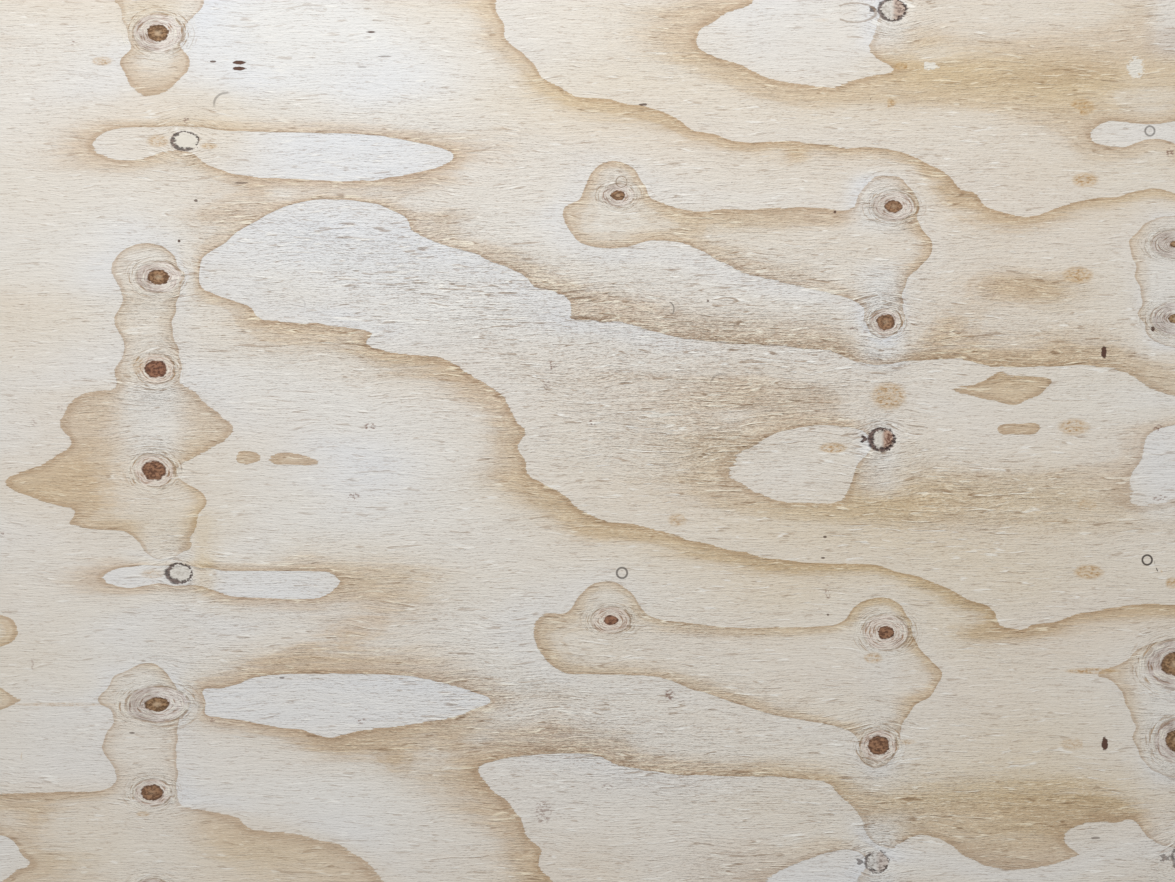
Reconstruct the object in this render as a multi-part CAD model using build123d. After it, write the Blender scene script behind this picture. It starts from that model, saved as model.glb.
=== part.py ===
from build123d import *
import os

# A full-size sheet of softwood plywood, lying flat with its face side up.
# Millimetres. The origin is the middle of the underside, +X runs along the face grain,
# +Y across it, and +Z up through the thickness.

# Nominal 8 ft by 4 ft sheet, 18 mm thick.
sheet_length = 2440.0
sheet_width = 1220.0
sheet_thickness = 18.0

# Saw-cut edges are square, and handling blunts each arris by a narrow flat.
arris_flat = 0.5


def plywood_sheet():
    """The glued panel as it is sold and cut: one flat slab with blunted arrises."""
    slab = Box(
        sheet_length,
        sheet_width,
        sheet_thickness,
        align=(Align.CENTER, Align.CENTER, Align.MIN),
    )
    return chamfer(slab.edges(), arris_flat)


os.makedirs("parts", exist_ok=True)
sheet = plywood_sheet()
sheet.label = "plywood_sheet"
export_step(sheet, "parts/plywood_sheet.step")

print("plywood_sheet", sheet.bounding_box().size, "volume", round(sheet.volume))
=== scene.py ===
# %% [markdown]
# # A full sheet of knotty pine plywood, lying face up
#
# The real sheet is one pressed panel: thin veneers are peeled off a log like paper off a roll,
# glued crosswise, and sawn to size. What we see from above is one peeled veneer. It shows flames
# where the knife ran in and out of the growth rings, and it repeats down the sheet once for each
# turn of the log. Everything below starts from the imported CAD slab, which gives the size and place.

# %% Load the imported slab
import math
import bpy
import numpy as np
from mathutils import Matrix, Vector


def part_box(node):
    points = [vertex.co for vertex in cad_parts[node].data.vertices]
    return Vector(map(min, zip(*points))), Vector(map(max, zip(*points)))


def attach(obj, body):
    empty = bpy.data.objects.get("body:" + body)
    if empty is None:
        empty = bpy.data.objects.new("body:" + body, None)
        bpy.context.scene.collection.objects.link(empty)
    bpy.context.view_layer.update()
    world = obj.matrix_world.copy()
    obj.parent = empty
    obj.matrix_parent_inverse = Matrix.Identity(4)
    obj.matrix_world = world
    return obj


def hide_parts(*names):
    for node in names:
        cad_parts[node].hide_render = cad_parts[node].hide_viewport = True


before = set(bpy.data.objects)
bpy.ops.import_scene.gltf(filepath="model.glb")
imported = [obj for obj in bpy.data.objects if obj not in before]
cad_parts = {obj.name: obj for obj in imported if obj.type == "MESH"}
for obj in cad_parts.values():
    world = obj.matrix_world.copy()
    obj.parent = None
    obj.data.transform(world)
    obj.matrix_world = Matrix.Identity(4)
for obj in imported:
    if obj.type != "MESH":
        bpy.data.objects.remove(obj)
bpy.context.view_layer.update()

low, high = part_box("plywood_sheet")
length, width, thickness = (top - bottom for bottom, top in zip(low, high))
middle = [(top + bottom) / 2 for bottom, top in zip(low, high)]
face_z = high[2]
print("slab", round(length, 4), round(width, 4), round(thickness, 4))

# %% [markdown]
# ## Millimetres and the photographed window
#
# The photograph looks straight down on a part of the face, 1175 x 882 mm. Places on the face are
# given below in millimetres from the upper left corner of that window, with y running down, because
# that is how a person points at things in a picture. Two small helpers turn metres into such places.

# %% Places on the face
MM = 0.001
VIEW_WIDE, VIEW_HIGH = 1175.0, 882.0
VIEW_MIDDLE = VIEW_HIGH / 2


def across_view(x):
    """Millimetres right of the window's left side, for x in metres."""
    return x / MM + VIEW_WIDE / 2


def down_view(y):
    """Millimetres below the window's top, for y in metres."""
    return VIEW_MIDDLE - y / MM


# %% [markdown]
# ## Camera, lamp and floor
#
# The camera hangs over the middle of the sheet and looks straight down, so close that the face fills
# the whole frame. The light in the photograph is soft and comes from the upper left: one large area
# lamp gives it, and an even pale world fills the rest. The floor is plain and pale.

# %% Camera
LENS, SENSOR = 26.0, 36.0
camera_height = face_z + VIEW_WIDE * MM * LENS / SENSOR
bpy.ops.object.select_all(action="DESELECT")
bpy.ops.object.camera_add(location=(0, 0, camera_height), rotation=(0, 0, 0))
camera = bpy.context.object
camera.data.lens = LENS
camera.data.sensor_width = SENSOR
bpy.context.scene.camera = camera
bpy.context.scene.view_settings.view_transform = "Standard"
print("camera height", round(camera_height, 4))

# %% Lamp and world
LAMP_PLACE, LAMP_AIM = (-0.32, 1.72, 1.67), (0, -0.1, 0)
LAMP_SIDE, LAMP_WATTS = 1.0, 36.8
WORLD_STRENGTH = 0.46

bpy.ops.object.light_add(type="AREA", location=LAMP_PLACE)
lamp = bpy.context.object
lamp.name = "window_light"
lamp.data.size = LAMP_SIDE
lamp.data.energy = LAMP_WATTS
way = np.subtract(LAMP_AIM, LAMP_PLACE)
lamp.rotation_euler = (math.acos(-way[2] / np.linalg.norm(way)), 0, math.atan2(-way[0], way[1]))

world = bpy.data.worlds.new("room")
bpy.context.scene.world = world
world.use_nodes = True
air = world.node_tree.nodes["Background"]
air.inputs["Color"].default_value = (0.98, 0.99, 1.0, 1)
air.inputs["Strength"].default_value = WORLD_STRENGTH
print("lamp", round(float(np.linalg.norm(way)), 3), "m from its aim")

# %% [markdown]
# ## Shader helpers
#
# A material here is a small network. These helpers add one node each and join it to what it is
# given, so that the network reads like a sum. A number is set on the socket, and anything else is
# linked to it.


# %% Sums of values
def set_input(tree, socket, value):
    """Links a socket to another one, or sets a plain value on it."""
    if isinstance(value, bpy.types.NodeSocket):
        tree.links.new(value, socket)
    elif value is not None:
        socket.default_value = value


def join_all(tree, sockets, **values):
    """Joins each value to the socket of its name, where _ stands for a space."""
    for title, value in values.items():
        set_input(tree, sockets[title.replace("_", " ")], value)


def sums(tree, operation, a, b=None, c=None, clamp=False):
    node = tree.nodes.new("ShaderNodeMath")
    node.operation = operation
    node.use_clamp = clamp
    for socket, value in zip(node.inputs, (a, b, c)):
        set_input(tree, socket, value)
    return node.outputs[0]


def times(tree, value, *others):
    """The product of all the values."""
    for other in others:
        value = sums(tree, "MULTIPLY", value, other)
    return value


def largest(tree, value, *others):
    for other in others:
        value = sums(tree, "MAXIMUM", value, other)
    return value


def plus(tree, a, b):
    return sums(tree, "ADD", a, b)


def minus(tree, a, b):
    return sums(tree, "SUBTRACT", a, b)


def times_plus(tree, value, factor, extra):
    return sums(tree, "MULTIPLY_ADD", value, factor, extra)


def nudged(tree, value, noise, amount):
    """The value, pushed up and down by a noise whose middle is 0.5."""
    return times_plus(tree, minus(tree, noise, 0.5), amount, value)


def gap(tree, a, b):
    """How far apart two values are."""
    return sums(tree, "ABSOLUTE", minus(tree, a, b))


def is_kind(tree, value, number):
    """One where the value is that whole number, and zero elsewhere."""
    return sums(tree, "COMPARE", value, float(number), 0.4)


# %% Steps, colours and noise
def vector_sums(tree, operation, a, b=None):
    node = tree.nodes.new("ShaderNodeVectorMath")
    node.operation = operation
    set_input(tree, node.inputs[0], a)
    set_input(tree, node.inputs[1], b)
    return node.outputs["Value" if operation == "LENGTH" else "Vector"]


def ease(tree, value, start, end, from_value=0.0, to_value=1.0):
    """A smooth step from one value to another while the input goes from start to end."""
    node = tree.nodes.new("ShaderNodeMapRange")
    node.interpolation_type = "SMOOTHSTEP"
    join_all(
        tree, node.inputs, Value=value, From_Min=start, From_Max=end, To_Min=from_value, To_Max=to_value
    )
    return node.outputs["Result"]


def straight(tree, value, start, end, from_value=0.0, to_value=1.0):
    """A straight, clamped step from one value to another."""
    result = ease(tree, value, start, end, from_value, to_value)
    result.node.interpolation_type = "LINEAR"
    return result


def mixed(tree, share, a, b, kind="MIX"):
    """One colour over another, or both multiplied, by a share from 0 to 1."""
    node = tree.nodes.new("ShaderNodeMix")
    node.data_type = "RGBA"
    node.blend_type = kind
    for number, value in ((0, share), (6, a), (7, b)):
        set_input(tree, node.inputs[number], value)
    return node.outputs[2]


def grainy(tree, place, stretch, detail=2, roughness=0.5, turn=0):
    """Noise around 0.5, with a scale for each axis in features per metre."""
    scaled = vector_sums(tree, "MULTIPLY", place, stretch)
    shifted = vector_sums(tree, "ADD", scaled, (turn, turn * 1.7, turn * 0.6))
    node = tree.nodes.new("ShaderNodeTexNoise")
    node.noise_dimensions = "3D"
    join_all(tree, node.inputs, Vector=shifted, Scale=1.0, Detail=detail, Roughness=roughness)
    return node.outputs["Fac"]


# %% Places, and what the mesh holds
def reading(tree, name, socket="Fac"):
    """What the mesh holds under that name."""
    node = tree.nodes.new("ShaderNodeAttribute")
    node.attribute_name = name
    return node.outputs[socket]


def object_place(tree):
    return tree.nodes.new("ShaderNodeTexCoord").outputs["Object"]


def parts_of(tree, vector):
    node = tree.nodes.new("ShaderNodeSeparateXYZ")
    set_input(tree, node.inputs[0], vector)
    return node.outputs


def joined(tree, x, y, z=0.0):
    node = tree.nodes.new("ShaderNodeCombineXYZ")
    for socket, value in zip(node.inputs, (x, y, z)):
        set_input(tree, socket, value)
    return node.outputs[0]


# %% Colours by number, groups and materials
def bumped(tree, height):
    """The normals of a surface with that height in metres."""
    node = tree.nodes.new("ShaderNodeBump")
    join_all(tree, node.inputs, Distance=1.0, Strength=1.0, Height=height)
    return node.outputs["Normal"]


def shade(red, green, blue):
    """A colour as a paint program names it, 0 to 255, in the linear numbers that Blender takes."""
    share = [c / 255 for c in (red, green, blue)]
    return [c / 12.92 if c <= 0.04045 else ((c + 0.055) / 1.055) ** 2.4 for c in share] + [1.0]


def new_group(name, inputs, outputs):
    """A node group. Its sockets named Color hold a colour, and the others a number."""
    tree = bpy.data.node_groups.new(name, "ShaderNodeTree")
    for side, titles in (("INPUT", inputs), ("OUTPUT", outputs)):
        for title in titles:
            kind = "NodeSocketColor" if title == "Color" else "NodeSocketFloat"
            tree.interface.new_socket(title, in_out=side, socket_type=kind)
    given, out = tree.nodes.new("NodeGroupInput"), tree.nodes.new("NodeGroupOutput")
    return tree, given.outputs, out.inputs


def use_group(tree, group, **values):
    """Places a group and gives its inputs their values."""
    node = tree.nodes.new("ShaderNodeGroup")
    node.node_tree = group
    join_all(tree, node.inputs, **values)
    return node.outputs


def new_material(name):
    material = bpy.data.materials.new(name)
    material.use_nodes = True
    return material, material.node_tree, material.node_tree.nodes["Principled BSDF"].inputs


# %% Floor
FLOOR_SIZE = 40
FLOOR_GAP = 0.2 * MM
bpy.ops.object.select_all(action="DESELECT")
bpy.ops.mesh.primitive_plane_add(size=FLOOR_SIZE, location=(0, 0, low[2] - FLOOR_GAP))
floor = bpy.context.object
floor.name = "pale_floor"
floor_paint, tree, surface = new_material("pale_floor_paint")
blotch = grainy(tree, object_place(tree), (1.5, 1.5, 1.5))
paint = mixed(tree, blotch, shade(188, 188, 186), shade(196, 196, 194))
join_all(tree, surface, Base_Color=paint, Roughness=0.8)
floor.data.materials.append(floor_paint)
print("floor", FLOOR_SIZE, "m wide")

# %% [markdown]
# ## The growth rings, as one smooth field
#
# A log's rings are nested shells, so the peeled face can be described by one smooth number: how
# many rings lie between the pith and this spot. Wherever it passes a whole number, dark latewood
# stops and the next ring's pale wood begins. That gives each flame its crisp side and its soft side,
# and closed loops round knots, without drawing each band.
#
# To place them, the crisp lines that the photograph shows are outlined one by one. Walking along an
# outline in the order given, the dark wood is on the right. Each has its ring number, and how far
# the dark wood reaches before it has faded, in millimetres, spread evenly along the line. A negative
# reach means that the wood stays dark there as far as the next line.

# %% The crisp ring lines
RING_LINES = {
    "flame_1": (0, [26, 22, 20, 22, 22, 20, 16, 14, 12, 12], [
        (492, -22), (495, -8), (496, 4), (497, 13), (503, 23), (506, 29), (503, 38), (512, 45), (521, 52),
        (530, 60), (537, 69), (543, 79), (557, 85), (567, 92), (578, 97), (605, 98), (628, 104),
        (645, 106), (658, 110), (671, 115), (681, 121), (690, 129), (698, 132), (713, 133), (725, 139),
        (745, 143), (790, 141), (815, 144), (838, 146), (846, 149), (862, 147), (880, 148),
    ]),
    "flame_1_right": (0, [22, 30, 22, 14, 12, 10], [
        (892, 150), (907, 154), (925, 162), (941, 170), (952, 178), (957, 187), (965, 190), (978, 194),
        (980, 200), (986, 207), (1005, 213), (1021, 217), (1036, 216), (1052, 210), (1075, 202),
        (1097, 198), (1120, 196), (1136, 191), (1155, 188), (1172, 192), (1192, 198),
    ]),
    "shelf_1": (0, [26, 14, 12, 12, 12, 12, 34, 16, 14, 12, 12, 12, 10, 8, 20], [
        (93, 146), (98, 153), (110, 158), (128, 161), (145, 158), (158, 153), (174, 150), (190, 152),
        (199, 158), (207, 165), (221, 170), (236, 175), (262, 178), (300, 179), (340, 181), (375, 180),
        (401, 176), (425, 171), (442, 166), (452, 160), (455, 154), (445, 149), (425, 144), (405, 140),
        (380, 136), (345, 134), (300, 133), (260, 132), (228, 131), (200, 127), (175, 126), (150, 127),
        (130, 127), (112, 129), (100, 135), (94, 141), (93, 146),
    ]),
    "tongue_1_top": (0, [
        30, 40, 40, 34, 24, 20, 28, 34, 40, 46, 40, 26, 24, 20, 12, 12, 10, 10, 12, 10,
    ], [
        (1192, 401), (1165, 393), (1150, 388), (1140, 382), (1131, 375), (1118, 370), (1100, 367),
        (1082, 365), (1050, 366), (1010, 367), (990, 366), (974, 363), (960, 358), (930, 360), (905, 361),
        (890, 364), (877, 366), (862, 363), (848, 359), (838, 353), (824, 349), (800, 348), (780, 345),
        (740, 344), (700, 341), (678, 338), (660, 333), (641, 328), (622, 322), (598, 321), (575, 319),
        (571, 310), (572, 301), (558, 293), (545, 289), (531, 287), (527, 276), (506, 267), (490, 261),
        (474, 253), (455, 249), (440, 244), (425, 238), (412, 231), (410, 222), (400, 214), (378, 204),
        (350, 200), (320, 199), (300, 202), (284, 207), (269, 214), (255, 222), (238, 231), (229, 239),
        (221, 247), (209, 251), (202, 258), (199, 268), (199, 281), (203, 290), (216, 295), (232, 300),
        (246, 305), (254, 312),
    ]),
    "tongue_1_low": (0, [30, 30, 30, 30, 36, 36, 40, 34, 26, 24, 20, 14, 12, 16, 22, 18, 20, 14], [
        (262, 319), (290, 322), (320, 323), (345, 327), (362, 329), (375, 333), (367, 337), (366, 343),
        (376, 349), (395, 353), (415, 355), (439, 357), (455, 365), (467, 373), (478, 379), (492, 388),
        (503, 396), (510, 408), (514, 418), (521, 426), (526, 434), (520, 441), (517, 448), (522, 456),
        (526, 464), (524, 471), (531, 477), (542, 483), (553, 489), (566, 495), (571, 503), (581, 511),
        (593, 517), (607, 522), (626, 523), (645, 527), (660, 531), (675, 535), (690, 541), (703, 543),
        (717, 547), (732, 551), (747, 553), (761, 557), (777, 559), (800, 562), (830, 564), (860, 564),
        (878, 565), (888, 569), (901, 573), (916, 576), (932, 582), (945, 587), (955, 592), (963, 598),
        (976, 602), (989, 607), (996, 614), (994, 621), (1002, 627), (1020, 630), (1034, 625),
        (1060, 622), (1072, 615), (1090, 612), (1120, 607), (1150, 604), (1175, 605), (1192, 606),
    ]),
    "shelf_2": (0, [22, 8, 8, 8, 14, 12, 12, 12, 30, 8, 8, 8, 6, 6, 14], [
        (104, 577), (109, 583), (120, 587), (133, 588), (146, 585), (160, 583), (175, 586), (196, 585),
        (212, 589), (224, 595), (238, 597), (266, 598), (300, 599), (318, 598), (329, 594), (337, 586),
        (342, 578), (326, 572), (300, 571), (262, 571), (225, 571), (204, 568), (185, 566), (165, 566),
        (145, 565), (124, 567), (110, 571), (104, 577),
    ]),
    "lens_2": (0, [12, 12, 12, 24, 34, 34, 30, 26, 34, 26, 26, 26, 24, 12], [
        (203, 690), (206, 700), (202, 708), (207, 715), (221, 718), (241, 720), (262, 724), (282, 728),
        (300, 729), (315, 734), (326, 738), (338, 736), (352, 732), (372, 728), (395, 727), (412, 724),
        (432, 721), (452, 718), (470, 711), (482, 706), (492, 700), (480, 694), (465, 689), (448, 684),
        (430, 680), (414, 677), (395, 675), (365, 674), (330, 674), (290, 674), (262, 676), (247, 680),
        (233, 686), (216, 688), (203, 690),
    ]),
    "tongue_2_top": (0, [14, 14, -20, -10, -12, -45, -45, -35, 30, 20, 20, 18, 24, 28, 36, 44, 44], [
        (1192, 850), (1175, 848), (1160, 845), (1150, 838), (1142, 830), (1136, 821), (1128, 818),
        (1119, 823), (1104, 822), (1090, 822), (1077, 826), (1067, 832), (1062, 838), (1067, 846),
        (1081, 854), (1065, 861), (1050, 866), (1035, 868), (1015, 870), (1000, 869), (985, 866),
        (974, 861), (963, 855), (955, 849), (947, 842), (935, 837), (924, 834), (913, 836), (903, 842),
        (893, 849), (878, 847), (868, 836), (864, 825), (857, 811), (849, 803), (841, 797), (835, 790),
        (829, 783), (815, 781), (798, 779), (775, 777), (740, 777), (700, 776), (675, 775), (652, 771),
        (630, 768), (612, 763), (600, 756), (584, 753), (560, 753), (530, 755), (505, 758), (488, 762),
        (478, 767),
    ]),
    "tongue_2_low": (0, [60, 50, 44, 36, 34, 40], [
        (478, 767), (483, 779), (488, 787), (498, 795), (508, 802), (515, 811), (522, 822), (527, 837),
        (535, 843), (541, 851), (541, 859), (538, 866), (545, 873), (553, 882), (563, 897),
    ]),
    "knots_1_right": (-1, [6, 6, 6, 8, 10, 10], [
        (112, 273), (111, 266), (116, 258), (122, 251), (131, 246), (141, 243), (152, 243), (162, 246),
        (170, 252), (177, 261), (181, 270), (183, 281), (181, 291), (177, 301), (174, 313), (172, 325),
        (173, 336), (177, 347), (180, 358), (182, 368), (180, 378),
    ]),
    "butterfly": (-1, [14, -14, -16, -12, 10, -12, -14, 16, 14, -14, -12, -10, -10, -12, -20, 14], [
        (180, 378), (186, 387), (196, 393), (204, 403), (214, 410), (224, 418), (232, 425), (231, 434),
        (224, 441), (214, 446), (203, 453), (190, 460), (179, 466), (178, 477), (187, 484), (198, 490),
        (206, 497), (205, 505), (199, 514), (195, 526), (191, 543), (181, 555), (165, 560), (150, 556),
        (142, 547), (135, 538), (124, 531), (108, 530), (90, 529), (76, 526), (69, 521), (76, 515),
        (71, 508), (60, 506), (45, 502), (30, 497), (14, 491), (4, 484), (8, 478), (18, 473), (35, 467),
        (50, 460), (62, 452), (71, 446), (70, 438), (63, 431), (59, 423), (63, 414), (71, 402), (80, 394),
        (95, 391), (109, 390), (117, 384),
    ]),
    "knots_1_left": (-1, [8, 10, 8, 8, 8], [
        (117, 384), (113, 374), (119, 364), (124, 353), (125, 342), (119, 332), (114, 322), (117, 312),
        (123, 303), (122, 293), (118, 284), (112, 273),
    ]),
    "knots_2": (-1, [30, 30, 24, 10, 10, 8, 6, 6, 6, 6, 8, 10, 10, 10], [
        (-20, 795), (0, 794), (30, 793), (60, 792), (90, 792), (104, 790), (113, 786), (117, 778),
        (114, 767), (107, 757), (102, 748), (103, 739), (110, 730), (114, 720), (112, 711), (105, 706),
        (97, 702), (103, 696), (105, 689), (112, 680), (120, 673), (130, 669), (141, 664), (152, 663),
        (160, 667), (167, 674), (174, 684), (180, 693), (183, 703), (183, 712), (179, 722), (177, 735),
        (176, 752), (177, 770), (176, 788), (180, 804),
    ]),
    "hill_2": (-1, [40, 60, 70, 80, 70], [
        (180, 804), (191, 808), (207, 811), (222, 814), (236, 817), (244, 822), (250, 829), (263, 831),
        (285, 833), (305, 836), (318, 841), (332, 842), (345, 848), (358, 855), (367, 862), (375, 870),
        (381, 877), (392, 890),
    ]),
    "isle_left": (-1, [30], [
        (-20, 883), (-4, 882), (6, 879), (13, 873), (22, 868), (31, 864), (25, 858), (18, 852), (17, 845),
        (12, 839), (0, 835), (-20, 832),
    ]),
    "lens_left_upper": (-1, [20], [
        (-20, 612), (0, 615), (8, 617), (14, 623), (20, 631), (15, 638), (8, 644), (0, 647), (-20, 650),
    ]),
    "lens_left_lower": (-1, [16], [
        (-20, 684), (0, 687), (9, 693), (19, 698), (13, 704), (4, 709), (-20, 713),
    ]),
    "top_left_west": (-1, [24, 20, 14, 10, 8, 8], [
        (148, 96), (136, 91), (129, 84), (126, 74), (120, 66), (120, 60), (126, 53), (133, 47), (128, 38),
        (125, 22), (119, 8), (112, -6), (107, -22),
    ]),
    "top_left_east": (-1, [8, 8, 8, 12, 20, 24], [
        (214, -22), (207, -6), (200, 10), (187, 23), (181, 35), (180, 46), (186, 53), (192, 62),
        (187, 72), (178, 81), (170, 88), (160, 94), (148, 96),
    ]),
    "streak_a": (-1, [-4], [
        (238, 453), (247, 451), (256, 453), (257, 461), (248, 464), (239, 462), (238, 453),
    ]),
    "streak_b": (-1, [-4], [
        (262, 458), (276, 454), (290, 453), (303, 455), (314, 459), (323, 463), (308, 465), (286, 465),
        (268, 463), (262, 458),
    ]),
    "knot_loop_1": (-1, [
        16, 10, 8, 8, 26, 34, 34, 30, 26, 14, 10, 8, 10, 8, 6, 10, 14, 20, 26, 26, 18, 14, 16, 20,
    ], [
        (563, 212), (567, 205), (577, 201), (583, 196), (585, 187), (589, 177), (595, 169), (602, 163),
        (611, 160), (622, 162), (633, 167), (640, 177), (645, 188), (650, 198), (662, 203), (675, 208),
        (690, 211), (705, 212), (725, 209), (745, 210), (765, 208), (790, 207), (815, 207), (833, 209),
        (846, 212), (853, 207), (858, 197), (864, 187), (872, 180), (884, 175), (897, 177), (906, 183),
        (913, 191), (918, 200), (918, 212), (919, 222), (924, 232), (931, 240), (934, 249), (929, 257),
        (920, 266), (913, 274), (906, 281), (903, 291), (903, 303), (904, 314), (902, 326), (895, 334),
        (884, 338), (873, 335), (867, 326), (865, 314), (858, 303), (846, 297), (830, 293), (813, 289),
        (795, 285), (777, 281), (760, 277), (742, 273), (726, 264), (712, 257), (701, 250), (680, 242),
        (662, 240), (645, 241), (632, 246), (618, 249), (600, 248), (585, 245), (575, 239), (570, 230),
        (565, 222), (563, 212),
    ]),
    "knot_loop_2": (-1, [
        34, 20, 10, 8, 8, 14, 12, 10, 10, 8, 8, 8, 10, 12, 10, 8, 8, 8, 8, 10, 14, 20, 14, 8, 24, 36,
    ], [
        (534, 626), (538, 618), (548, 614), (558, 613), (567, 615), (572, 607), (578, 598), (585, 590),
        (594, 584), (603, 581), (614, 582), (624, 587), (633, 595), (639, 605), (646, 614), (656, 619),
        (671, 621), (690, 623), (715, 626), (745, 628), (780, 627), (815, 627), (834, 625), (845, 620),
        (850, 612), (856, 605), (866, 600), (877, 597), (890, 598), (900, 604), (906, 613), (911, 624),
        (914, 637), (918, 647), (925, 655), (933, 662), (940, 669), (942, 677), (936, 687), (930, 697),
        (918, 703), (910, 712), (903, 722), (900, 733), (899, 745), (895, 756), (886, 765), (875, 769),
        (864, 764), (859, 755), (860, 744), (855, 735), (845, 729), (826, 724), (803, 720), (783, 717),
        (765, 713), (745, 706), (722, 699), (705, 693), (690, 689), (675, 682), (658, 677), (630, 675),
        (600, 674), (576, 674), (560, 671), (550, 664), (542, 655), (536, 644), (534, 635), (534, 626),
    ]),
    "edge_knots_1": (-1, [7], [
        (1192, 350), (1172, 347), (1158, 343), (1148, 336), (1143, 325), (1140, 312), (1142, 300),
        (1139, 288), (1137, 275), (1134, 262), (1129, 250), (1131, 240), (1138, 230), (1147, 222),
        (1160, 217), (1175, 215), (1192, 216),
    ]),
    "edge_knots_2": (-1, [7, 7, 12, 8, 7, 7], [
        (1192, 780), (1172, 778), (1158, 773), (1147, 765), (1138, 753), (1134, 740), (1135, 728),
        (1131, 715), (1126, 702), (1121, 690), (1113, 682), (1104, 676), (1094, 671), (1108, 669),
        (1118, 665), (1126, 661), (1133, 653), (1142, 647), (1152, 643), (1165, 640), (1192, 641),
    ]),
    "bay_1": (1, [40, 50, 50, 30, 28, 30, 30, 40, 40, 16, 14], [
        (760, -22), (757, -6), (751, 5), (735, 10), (722, 16), (713, 22), (703, 27), (697, 37), (697, 47),
        (705, 53), (720, 59), (733, 62), (745, 67), (757, 73), (770, 79), (785, 82), (800, 84), (822, 87),
        (840, 87), (848, 82), (866, 77), (885, 74), (893, 69), (889, 64), (878, 60), (872, 52), (869, 46),
        (873, 39), (876, 31), (877, 22), (884, 8), (890, -10), (893, -22),
    ]),
    "bay_2": (1, [44, 30, 26, 26, 30, 12, 8, 16, 26, 34, 40], [
        (728, 473), (737, 479), (746, 487), (760, 494), (775, 500), (790, 502), (825, 503), (838, 502),
        (846, 495), (851, 485), (853, 475), (858, 464), (866, 455), (873, 447), (870, 437), (862, 430),
        (848, 427), (825, 425), (808, 426), (795, 429), (780, 432), (768, 437), (758, 444), (748, 449),
        (740, 452), (737, 460), (733, 467), (728, 473),
    ]),
    "bay_3": (1, [12, 12, 20, 24, 26, 26], [
        (846, 897), (856, 880), (866, 870), (868, 860), (860, 852), (847, 849), (832, 852), (815, 857),
        (795, 864), (778, 872), (768, 880), (758, 895),
    ]),
    "edge_bay_1": (1, [16, 16, 30, 12, 10], [
        (1192, 119), (1175, 121), (1160, 124), (1140, 124), (1122, 121), (1108, 121), (1099, 123),
        (1095, 129), (1091, 136), (1091, 141), (1098, 144), (1112, 146), (1126, 147), (1137, 142),
        (1152, 138), (1167, 140), (1178, 146), (1192, 154),
    ]),
    "edge_bay_2": (1, [14, 14, 24, 20], [
        (1192, 422), (1172, 425), (1155, 430), (1146, 437), (1143, 446), (1143, 454), (1140, 462),
        (1131, 475), (1128, 484), (1132, 494), (1138, 505),
    ]),
    "leaf_a": (0, [-8], [
        (955, 389), (970, 385), (984, 381), (994, 375), (1005, 372), (1015, 376), (1030, 376),
        (1042, 377), (1055, 382), (1046, 388), (1040, 395), (1025, 401), (1010, 407), (1003, 403),
        (988, 400), (972, 397), (955, 389),
    ]),
    "leaf_b": (0, [-4], [
        (998, 428), (1011, 424), (1030, 424), (1041, 427), (1045, 430), (1030, 434), (1015, 435),
        (1003, 434), (998, 428),
    ]),
}
print("ring lines", len(RING_LINES), "points", sum(len(points) for _, _, points in RING_LINES.values()))
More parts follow.
